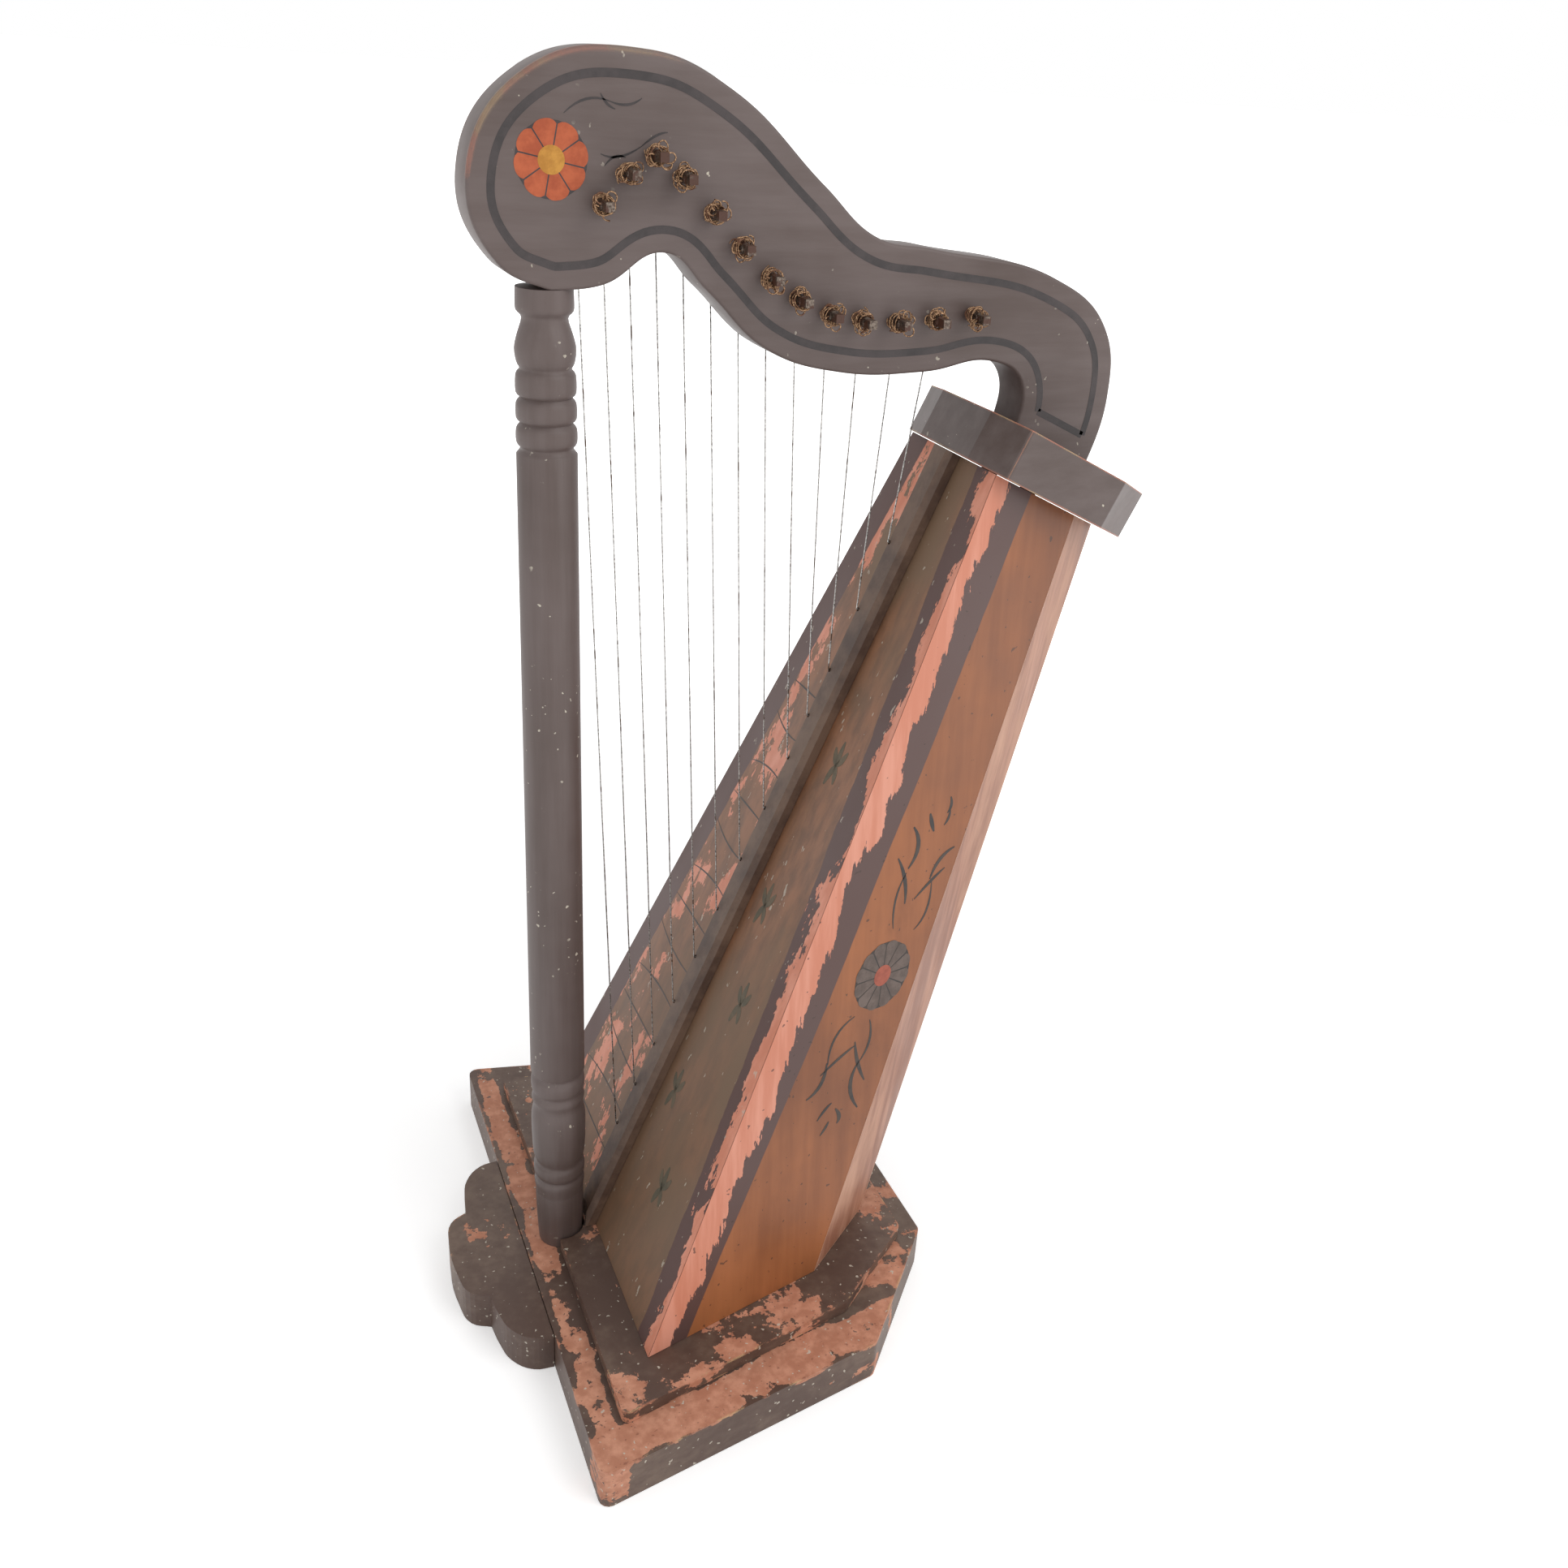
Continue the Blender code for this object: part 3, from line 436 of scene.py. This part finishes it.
dress(nodes["far_rear_panel"], faded_panel("far_rear_stain", 1))
dress(nodes["back_panel"], dark_paint("back_paint", (1, 1, 0.1), 0.4))
bare = plain_paint("bare_wood", (170, 128, 84), (206, 166, 118), 60, 0.7)
for name in ("bottom_block", "top_block", "neck_dowel_front", "neck_dowel_rear"):
    dress(nodes[name], bare)
screws = metal("screw_steel", (120, 116, 110), (170, 166, 160), (96, 60, 40), 0.6, 0.3)
for name in ("base_screw_1", "base_screw_2"):
    dress(nodes[name], screws)
wire_steel = metal("string_steel", (120, 118, 116), (214, 212, 208), (86, 66, 52), 0.56, 0.25)
pin_steel = metal("pin_steel", (70, 60, 54), (130, 118, 108), (74, 46, 34), 0.46, 0.35)
# The rusty wire's pale tone stands for bare steel and for painted glints on the curls.
rusty = metal("rusty_wire", (92, 64, 48), (182, 148, 116), (104, 66, 44), 0.54, 0.38)
for name, node in nodes.items():
    if name.startswith("string_") and name != "string_rib":
        dress(node, wire_steel)
    if name.startswith("tuning_pin_"):
        dress(node, pin_steel)

# Column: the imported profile, turned finer.
column_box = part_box("column")
COLUMN_R = 0.0126
COLUMN_HEIGHT = 0.4750
COLUMN_X = X0 + 0.0195
COLUMN_FOOT = float(column_box[0][2]) + 0.0150
UPPER = (
    (0.885, 1.0), (0.900, 0.990), (0.885, 0.982), (0.715, 0.976), (0.860, 0.963),
    (0.955, 0.952), (0.900, 0.941), (0.810, 0.936), (0.935, 0.931), (0.945, 0.917),
    (0.820, 0.913), (0.945, 0.908), (0.950, 0.896), (0.830, 0.892), (0.955, 0.887),
    (0.960, 0.876), (0.840, 0.871), (0.970, 0.866),
)
LOWER = (
    (1.045, 0.2270), (0.925, 0.2220), (1.030, 0.2160), (1.030, 0.2050),
    (0.940, 0.1990), (1.030, 0.1920), (0.960, 0.1830), (1.055, 0.1700),
    (1.060, 0.1450), (1.020, 0.1200), (0.930, 0.1080), (1.010, 0.1030),
    (1.010, 0.0930), (0.915, 0.0880), (1.000, 0.0820), (0.950, 0.0680),
    (0.960, 0.0640), (0.940, 0.0350), (0.880, 0.0030), (0.860, 0.0),
)


def eased(points, parts):
    """Points of a smooth curve through the given ones."""
    out = []
    last = len(points) - 1
    for k in range(last):
        a, b = points[max(k - 1, 0)], points[k]
        c, d = points[k + 1], points[min(k + 2, last)]
        for step in range(parts):
            f = step / parts
            out.append([
                q + 0.5 * f * (r - p + f * (2 * p - 5 * q + 4 * r - s + f * (3 * (q - r) + s - p)))
                for p, q, r, s in zip(a, b, c, d)
            ])
    out.append(list(points[last]))
    return out


profile = eased(UPPER, 3) + eased(LOWER, 3)
mesh = bpy.data.meshes.new("column_profile")
rows = [(0, 0, COLUMN_HEIGHT)]
rows += [(wide * COLUMN_R, 0, high * COLUMN_HEIGHT) for wide, high in profile]
rows += [(0, 0, 0)]
mesh.from_pydata(rows, [(i, i + 1) for i in range(len(rows) - 1)], [])
helper = bpy.data.objects.new("column_profile", mesh)
bpy.context.scene.collection.objects.link(helper)
screw = helper.modifiers.new("turn", "SCREW")
screw.steps = 64
screw.render_steps = 64
screw.use_merge_vertices = True
screw.merge_threshold = 0.00001
helper.location = (COLUMN_X, 0, COLUMN_FOOT)
column_mesh = evaluated(helper, "turned_column")
column_mesh.shade_smooth()
column_mesh.set_sharp_from_angle(angle=math.radians(50))
add(
    "turned_column",
    column_mesh,
    dark_paint("column_paint", (1, 1, 0.06), 0.30, 0.70),
    stands_for=("column",),
)

# Neck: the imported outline, drawn finer and with rounded edges.
NECK_OUTLINE = (
    (0.0000, -0.0005, 0), (0.0205, 0.0020, 1), (0.0445, 0.0136, 1), (0.0615, 0.0000, 1),
    (0.0870, -0.0222, 1), (0.1205, -0.0320, 1), (0.1605, -0.0324, 1), (0.1925, -0.0287, 1),
    (0.2068, -0.0370, 1), (0.2060, -0.0640, 0), (0.2420, -0.0900, 0), (0.2533, -0.0450, 1),
    (0.2462, -0.0143, 1), (0.2185, 0.0052, 1), (0.1585, 0.0165, 1), (0.1330, 0.0205, 1),
    (0.1090, 0.0388, 1), (0.0700, 0.0704, 1), (0.0365, 0.0822, 1), (-0.0085, 0.0735, 1),
    (-0.0300, 0.0390, 1), (-0.0195, 0.0090, 1),
)
SEAT = COLUMN_FOOT + COLUMN_HEIGHT
CAP_TILT = math.radians(25.3)
CAP_IN = Vector((math.cos(CAP_TILT), 0, -math.sin(CAP_TILT)))
CAP_UP = Vector((math.sin(CAP_TILT), 0, math.cos(CAP_TILT)))
cap_corner = BOARD_FOOT + ALONG * BOARD_LENGTH - CAP_IN * 0.0058
foot_centre = cap_corner + CAP_UP * 0.0225 + CAP_IN * 0.0400
fit = complex(foot_centre.x - COLUMN_X, foot_centre.z - SEAT) / complex(0.2234, -0.0637)


def on_neck(x, z):
    at = complex(x, z) * fit
    return COLUMN_X + at.real, SEAT + at.imag


curve = bpy.data.curves.new("neck_outline", "CURVE")
curve.dimensions = "2D"
curve.fill_mode = "BOTH"
curve.resolution_u = 18
line = curve.splines.new("BEZIER")
line.bezier_points.add(len(NECK_OUTLINE) - 1)
for point, (x, z, soft) in zip(line.bezier_points, NECK_OUTLINE):
    point.co = (*on_neck(x, z), 0)
    kind = "AUTO" if soft else "VECTOR"
    point.handle_left_type = kind
    point.handle_right_type = kind
line.use_cyclic_u = True
helper = bpy.data.objects.new("neck_outline", curve)
bpy.context.scene.collection.objects.link(helper)
bpy.context.view_layer.update()
flat = helper.evaluated_get(bpy.context.evaluated_depsgraph_get()).to_mesh()
ring_mesh = bmesh.new()
ring_mesh.from_mesh(flat)
bmesh.ops.remove_doubles(ring_mesh, verts=ring_mesh.verts, dist=1e-6)
rim = [edge for edge in ring_mesh.edges if len(edge.link_faces) == 1]
links = {}
for edge in rim:
    a, b = edge.verts
    links.setdefault(a, []).append(b)
    links.setdefault(b, []).append(a)
here = min(links, key=lambda v: (v.co.x, v.co.y))
ring = [here]
back = None
while True:
    ahead = [v for v in links[here] if v is not back]
    back, here = here, ahead[0]
    if here is ring[0]:
        break
    ring.append(here)
outline = np.array([(v.co.x, v.co.y) for v in ring])
ring_mesh.free()
if sum(np.cross(outline, np.roll(outline, -1, 0))) < 0:
    outline = outline[::-1]
curve.bevel_depth = 0.0014
curve.bevel_resolution = 2
curve.offset = -0.0014
curve.extrude = NECK_HALF - 0.0014
helper.rotation_euler = (math.pi / 2, 0, 0)
saw_mesh = bmesh.new()
bmesh.ops.create_cube(saw_mesh, size=0.12)
below = bpy.data.meshes.new("below_cap")
saw_mesh.to_mesh(below)
saw_mesh.free()
below.transform(Matrix.Translation((0, 0, -0.06)))
below.transform(
    Matrix.Translation(foot_centre + CAP_UP * 0.0003) @ Matrix.Rotation(CAP_TILT, 4, "Y")
)
saw = bpy.data.objects.new("below_cap", below)
bpy.context.scene.collection.objects.link(saw)
weld = helper.modifiers.new("close", "WELD")
weld.merge_threshold = 0.00001
neck_mesh = evaluated(helper, "carved_neck")
helper = bpy.data.objects.new("neck_blank", neck_mesh)
bpy.context.scene.collection.objects.link(helper)
trim = helper.modifiers.new("foot", "BOOLEAN")
trim.operation = "DIFFERENCE"
trim.solver = "EXACT"
trim.object = saw
neck_mesh = evaluated(helper, "carved_neck")
bpy.data.objects.remove(saw, do_unlink=True)
neck_mesh.shade_smooth()
neck_mesh.set_sharp_from_angle(angle=math.radians(40))
neck_paint = dark_paint("neck_paint", (0.12, 1, 1), 0.60, 0.73, chip=0.10, head=1.7)
add("carved_neck", neck_mesh, neck_paint, stands_for=("neck",))

# Painted line round the neck's near face, a set distance inside its edge.
NEAR_Y = -NECK_HALF - PAINT_OFF


def strip_mesh(name, middle, widths, plane):
    """A flat painted stroke along a line, laid on a plane by its function."""
    made = bmesh.new()
    middle = np.array(middle)
    count = len(middle)
    pairs = []
    for k in range(count):
        tangent = middle[min(k + 1, count - 1)] - middle[max(k - 1, 0)]
        normal = np.array((-tangent[1], tangent[0])) / max(np.linalg.norm(tangent), 1e-9)
        width = widths[k] if isinstance(widths, (list, tuple)) else widths
        left = made.verts.new(plane(*(middle[k] + normal * width / 2)))
        right = made.verts.new(plane(*(middle[k] - normal * width / 2)))
        pairs.append((left, right))
    for (a, b), (c, d) in zip(pairs, pairs[1:]):
        made.faces.new((a, b, d, c))
    mesh = bpy.data.meshes.new(name)
    made.to_mesh(mesh)
    made.free()
    return mesh


def merged(name, meshes):
    """Several meshes as one."""
    made = bmesh.new()
    for mesh in meshes:
        made.from_mesh(mesh)
        bpy.data.meshes.remove(mesh)
    mesh = bpy.data.meshes.new(name)
    made.to_mesh(mesh)
    made.free()
    return mesh


INSET = 0.0088
INSET_SLACK = 0.0004
LINE_WIDTH = 0.0030
FOOT_MARGIN = 0.0085
FOOT_FROM = X0 + 0.18
steps = np.roll(outline, -1, 0) - np.roll(outline, 1, 0)
inward = np.stack((-steps[:, 1], steps[:, 0]), 1)
inward /= np.linalg.norm(inward, axis=1)[:, None]
inner = outline + inward * INSET
gaps = np.linalg.norm(inner[:, None] - outline[None], axis=2).min(1)
cap_height = (inner - np.array((foot_centre.x, foot_centre.z))) @ np.array((CAP_UP.x, CAP_UP.z))
clear = gaps > INSET - INSET_SLACK
kept = inner[clear & ((cap_height > FOOT_MARGIN) | (inner[:, 0] < FOOT_FROM))]
low = np.argmax(np.linalg.norm(np.roll(kept, -1, 0) - kept, axis=1))
kept = np.roll(kept, -low - 1, 0)
for _ in range(6):
    kept[1:-1] = (kept[:-2] + 2 * kept[1:-1] + kept[2:]) / 4


def on_face(x, z):
    return (x, NEAR_Y, z)


line_paint = plain_paint("line_paint", (46, 40, 40), (66, 58, 58), 60, 0.5)
closing = [kept[-1] + (kept[0] - kept[-1]) * t for t in (0, 0.33, 0.66, 1)]
line_mesh = merged(
    "neck_line",
    [
        strip_mesh("line", kept, LINE_WIDTH, on_face),
        strip_mesh("closing", closing, LINE_WIDTH, on_face),
    ],
)
add("neck_line", line_mesh, line_paint)


def petals(name, centre, radius, count, plane, start=0.0, gap=0.10, stretch=1.0):
    """A daisy's petals, each a rounded wedge, on a plane."""
    made = bmesh.new()
    for k in range(count):
        middle = start + 2 * math.pi * k / count
        wide = math.pi / count * (1 - gap)
        rim = []
        for t in np.linspace(-1, 1, 9):
            angle = middle + wide * t
            reach = radius * (1.0 - 0.11 * abs(t) ** 3)
            rim.append((angle, reach))
        root = radius * 0.30
        points = [(middle - wide * 0.9, root)] + rim + [(middle + wide * 0.9, root)]
        verts = []
        for angle, reach in points:
            x = centre[0] + reach * math.cos(angle) * stretch
            z = centre[1] + reach * math.sin(angle)
            verts.append(made.verts.new(plane(x, z)))
        made.faces.new(verts)
    mesh = bpy.data.meshes.new(name)
    made.to_mesh(mesh)
    made.free()
    return mesh


def disc(name, centre, radius, plane, stretch=1.0, count=28):
    made = bmesh.new()
    verts = []
    for k in range(count):
        angle = 2 * math.pi * k / count
        x = centre[0] + radius * math.cos(angle) * stretch
        verts.append(made.verts.new(plane(x, centre[1] + radius * math.sin(angle))))
    made.faces.new(verts)
    mesh = bpy.data.meshes.new(name)
    made.to_mesh(mesh)
    made.free()
    return mesh


def lifted(plane, more):
    """The same plane, a little further out."""
    def moved(x, z):
        p = Vector(plane(x, z))
        return p + out_of[plane] * more
    return moved


out_of = {on_face: Vector((0, -1, 0))}
flower = (X0 + 0.0202, 0.5424)
first_coat = lifted(on_face, COAT)
second_coat = lifted(on_face, 2 * COAT)
orange = plain_paint("orange_petals", (170, 76, 40), (196, 98, 58), 120, 0.5)
yellow = plain_paint("yellow_heart", (186, 126, 42), (212, 152, 62), 200, 0.5)
add("neck_flower_shade", disc("shade", flower, 0.0134, on_face), line_paint)
add(
    "neck_flower_petals",
    petals("petals", flower, 0.0138, 8, first_coat, 0.2, 0.055),
    orange,
)
add("neck_flower_heart", disc("heart", flower, 0.0050, second_coat), yellow)


def stroke(start, bend, end, width, plane, parts=9):
    """A brush stroke that swells in the middle, along a bent line."""
    points = []
    widths = []
    for t in np.linspace(0, 1, parts):
        points.append([
            (1 - t) ** 2 * a + 2 * t * (1 - t) * b + t * t * c
            for a, b, c in zip(start, bend, end)
        ])
        widths.append(width * (0.12 + 0.88 * math.sin(math.pi * (0.08 + 0.84 * t))))
    return strip_mesh("stroke", points, widths, plane)


vines = []
for a, b, c in (
    ((0.0250, 0.5580), (0.0330, 0.5655), (0.0420, 0.5625)),
    ((0.0420, 0.5625), (0.0490, 0.5600), (0.0540, 0.5640)),
    ((0.0385, 0.5650), (0.0405, 0.5610), (0.0440, 0.5600)),
    ((0.0385, 0.5450), (0.0450, 0.5420), (0.0540, 0.5480)),
    ((0.0540, 0.5480), (0.0600, 0.5530), (0.0640, 0.5530)),
    ((0.0400, 0.5410), (0.0440, 0.5460), (0.0480, 0.5440)),
):
    shift = [(x + X0, z) for x, z in (a, b, c)]
    vines.append(stroke(*shift, 0.0009, on_face))
add("neck_vines", merged("neck_vines", vines), line_paint)


# Sprays and daisy on the near side panel, measured up the front arris and back across the panel.
def on_side(across, up):
    return near_low + ARRIS * up + SIDE_ACROSS * across + SIDE_OUT * PAINT_OFF


out_of[on_side] = SIDE_OUT
spray_paint = plain_paint("spray_paint", (44, 38, 36), (70, 58, 50), 80, 0.5)
# Each stroke's start, bend, end and width in millimetres.
SPRAYS = (
    ((35, 278), (47, 271), (42, 258), 2.6), ((33, 262), (45, 253), (49, 241), 2.2),
    ((48, 228), (39, 242), (42, 256), 1.3), ((67, 273), (58, 267), (59, 255), 2.2),
    ((66, 262), (60, 255), (54, 244), 1.8), ((62, 229), (69, 238), (61, 254), 1.4),
    ((42, 286), (45, 282), (49, 278), 2.4), ((51, 296), (55, 292), (53, 288), 1.8),
    ((54, 290), (56, 286), (54, 282), 1.6), ((46, 182), (34, 172), (41, 156), 1.5),
    ((40, 157), (45, 144), (36, 137), 2.3), ((54, 167), (47, 161), (39, 150), 1.8),
    ((57, 181), (66, 170), (61, 158), 1.6), ((53, 169), (59, 158), (70, 149), 2.2),
    ((61, 159), (57, 144), (73, 134), 2.4), ((54, 136), (51, 133), (49, 126), 1.8),
    ((58, 133), (65, 129), (63, 125), 2.4), ((57, 126), (57, 123), (55, 118), 1.8),
)
sprays = [
    stroke(*[(across / 1000, up / 1000) for across, up in bends], width / 1000, on_side)
    for *bends, width in SPRAYS
]
daisy = (0.0534, 0.2042)
DAISY_WIDE = 0.92
add("side_sprays", merged("side_sprays", sprays), spray_paint)
grey = plain_paint("grey_petals", (86, 72, 65), (112, 96, 88), 120, 0.55)
red = plain_paint("red_heart", (150, 72, 54), (172, 88, 66), 200, 0.5)
add("side_daisy_shade", disc("shade", daisy, 0.0180, on_side, DAISY_WIDE), spray_paint)
add(
    "side_daisy_petals",
    petals("petals", daisy, 0.0184, 12, lifted(on_side, COAT), 0.1, 0.10, DAISY_WIDE),
    grey,
)
add("side_daisy_heart", disc("heart", daisy, 0.0056, lifted(on_side, 2 * COAT), 0.9), red)


# Faint leaves down the near half of the soundboard, and lines across its far half.
def on_board(y, up):
    return BOARD_FOOT + ALONG * up + Vector((0, y, 0)) + OUT * PAINT_OFF


out_of[on_board] = OUT
leaf_paint = plain_paint("leaf_paint", (84, 78, 62), (106, 92, 72), 90, 0.6)
leaves = []
LEAVES = ((-0.025, 0.283), (-0.022, 0.205), (-0.040, 0.160), (-0.021, 0.096), (-0.048, 0.057))
for y, up in LEAVES:
    for tip in ((-5, 9), (1, 12), (6, 7), (-4, -8), (3, -11)):
        end = (y + tip[0] / 1000, up + tip[1] / 1000)
        bend = (y + tip[0] / 1500, up + tip[1] / 3000)
        leaves.append(stroke((y, up), bend, end, 0.0036, on_board, 7))
add("board_leaves", merged("board_leaves", leaves), leaf_paint)
cross = []
RIB_SIDE = 0.012
for k in range(13):
    up = 0.030 + 0.0225 * k
    edge = FOOT_HALF - (FOOT_HALF - TOP_HALF) * up / BOARD_LENGTH - 0.016
    wave = 0.004 * math.sin(2.1 * k)
    bend = ((edge + RIB_SIDE) / 2, up + wave)
    cross.append(stroke((RIB_SIDE, up), bend, (edge, up - wave), 0.0009, on_board))
add("board_cross_lines", merged("board_cross_lines", cross), spray_paint)

# Old wire curled round the near end of each pin.
COIL_RADIUS = 0.0026
COIL_LOOSE = 0.0011
COIL_STEP = 2 * math.pi / 9
WIRE_RADIUS = 0.00030
# Each strand's points round the pin, its start off the neck, its extra radius and the points
# of its loop.
STRANDS = (
    (24, 0.0012, 0.0, 5), (18, 0.0040, 0.0007, 8), (12, 0.0066, 0.0004, 6),
    (5, 0.0030, 0.0010, 8), (4, 0.0056, 0.0010, 9),
)
for number in range(1, 14):
    name = f"winding_{number:02d}"
    lower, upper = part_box(f"tuning_pin_{number:02d}")
    cx = float(lower[0] + upper[0]) / 2
    cz = float(lower[2] + upper[2]) / 2
    dice = random.Random(number)
    tangle = []
    # Loops of neighbouring pins lie at different depths, so that each pin can turn.
    layer = 0.0042 * (number % 2)
    for strand, (turns, start, extra, loop) in enumerate(STRANDS):
        path = []
        angle = dice.uniform(0, 2 * math.pi)
        depth = -NECK_HALF - start
        for step in range(turns):
            swell = COIL_RADIUS + COIL_LOOSE * dice.random() + extra
            path.append((
                cx + swell * math.cos(angle),
                depth - 0.00024 * step + 0.0004 * math.sin(1.7 * step),
                cz + swell * math.sin(angle),
            ))
            angle += COIL_STEP
        # A loose loop to one side of the pin.
        outward = Vector((math.cos(angle), 0, math.sin(angle)))
        level = -NECK_HALF - 0.0040 - layer - 0.0009 * strand
        centre = Vector((cx, 0, cz)) + outward * 0.0034
        turn = angle + math.pi * 0.8
        for step in range(1, loop + 1):
            turn += 0.75
            wide = 0.0024 - 0.0001 * step + 0.0004 * dice.random()
            before = path[-1][1]
            y = before + (level - before) * 0.5 + 0.0004 * math.sin(2.3 * step)
            path.append((centre.x + wide * math.cos(turn), y, centre.z + wide * math.sin(turn)))
        curve = bpy.data.curves.new(name + "_path", "CURVE")
        curve.dimensions = "3D"
        curve.bevel_depth = WIRE_RADIUS
        curve.bevel_resolution = 2
        curve.use_fill_caps = True
        thread = curve.splines.new("NURBS")
        thread.points.add(len(path) - 1)
        thread.order_u = 3
        thread.use_endpoint_u = True
        thread.resolution_u = 3
        for point, at in zip(thread.points, path):
            point.co = (*at, 1)
            point.radius = dice.uniform(0.85, 1.15)
        helper = bpy.data.objects.new(name + "_path", curve)
        bpy.context.scene.collection.objects.link(helper)
        tangle.append(evaluated(helper, name))
    mesh = merged("curled_wire", tangle)
    mesh.shade_smooth()
    add(f"curled_wire_{number:02d}", mesh, rusty, f"pin_{number:02d}", (name,))

# Floor, light and camera.
WORLD_LIGHT = 0.62
FLOOR_DROP = 0.0002


def seen_directly(tree):
    """1 for what the camera or a reflection shows, and 0 for the light that falls on things."""
    path = tree.nodes.new("ShaderNodeLightPath")
    out = path.outputs["Is Camera Ray"]
    for name in ("Is Glossy Ray", "Is Transmission Ray"):
        either = tree.nodes.new("ShaderNodeMath")
        either.operation = "MAXIMUM"
        tree.links.new(out, either.inputs[0])
        tree.links.new(path.outputs[name], either.inputs[1])
        out = either.outputs[0]
    return out


floor_mesh = bpy.data.meshes.new("floor")
FLOOR_HALF = 60.0
corners = [(x * FLOOR_HALF, y * FLOOR_HALF, 0) for x, y in ((-1, -1), (1, -1), (1, 1), (-1, 1))]
floor_mesh.from_pydata(corners, [], [(0, 1, 2, 3)])
floor = bpy.data.objects.new("floor", floor_mesh)
floor.location.z = -FLOOR_DROP
bpy.context.scene.collection.objects.link(floor)
n = Nodes("floor_white")
pale = n.mix(n.ramp(n.noise(3, 3), 0.3, 0.7), (0.97, 0.97, 0.97, 1), (1.0, 1.0, 1.0, 1))
plan = n.add("ShaderNodeVectorMath", operation="LENGTH")
n.put(plan.inputs[0], n.position)
away = n.ramp(plan.outputs["Value"], 0.35, 1.1, 0.36, 1.0)
n.put(n.shader.inputs["Emission Strength"], n.math("MULTIPLY", seen_directly(n.tree), away))
n.shader.inputs["Emission Color"].default_value = (1, 1, 1, 1)
floor_mesh.materials.append(n.finish(pale, 0.9))

world = bpy.data.worlds.new("studio")
world.use_nodes = True
background = world.node_tree.nodes["Background"]
background.inputs["Color"].default_value = (1, 1, 1, 1)
level = world.node_tree.nodes.new("ShaderNodeMapRange")
world.node_tree.links.new(seen_directly(world.node_tree), level.inputs["Value"])
level.inputs["To Min"].default_value = WORLD_LIGHT
level.inputs["To Max"].default_value = 1.0
world.node_tree.links.new(level.outputs[0], background.inputs["Strength"])
bpy.context.scene.world = world


def lamp(name, at, aim, size, power):
    light = bpy.data.lights.new(name, "AREA")
    light.size = size
    light.energy = power
    piece = bpy.data.objects.new(name, light)
    piece.location = at
    piece.rotation_euler = (Vector(aim) - Vector(at)).to_track_quat("-Z", "Y").to_euler()
    bpy.context.scene.collection.objects.link(piece)


lamp("key", (1.1, -1.3, 1.9), (0, 0, 0.3), 1.6, 17)
lamp("fill", (-1.5, -1.2, 1.2), (0, 0, 0.25), 1.8, 3)

# The camera's turn in degrees, its place from the slab's front edge, its focal length in pixels
# and the picture's width in pixels.
CAMERA_TURN = (23.6358, 26.4076, 3.5694)
CAMERA_AT = (-0.11632, -0.56667, 0.57766)
FOCAL = 1781.1
PICTURE = 1932
SENSOR = 36
yaw, pitch, roll = (math.radians(a) for a in CAMERA_TURN)
forward = math.cos(pitch)
ahead = Vector((math.sin(yaw) * forward, math.cos(yaw) * forward, -math.sin(pitch)))
right = Vector((math.cos(yaw), -math.sin(yaw), 0))
upward = right.cross(ahead)
rolled = right * math.cos(roll) + upward * math.sin(roll)
raised = upward * math.cos(roll) - right * math.sin(roll)
lens = bpy.data.cameras.new("camera")
lens.sensor_width = SENSOR
lens.lens = SENSOR * FOCAL / PICTURE
lens.clip_start = 0.05
camera = bpy.data.objects.new("camera", lens)
turn = Matrix((rolled, raised, -ahead)).transposed().to_4x4()
camera.matrix_world = Matrix.Translation((X0 + CAMERA_AT[0], *CAMERA_AT[1:])) @ turn
bpy.context.scene.collection.objects.link(camera)
scene = bpy.context.scene
scene.camera = camera
scene.view_settings.view_transform = "Standard"
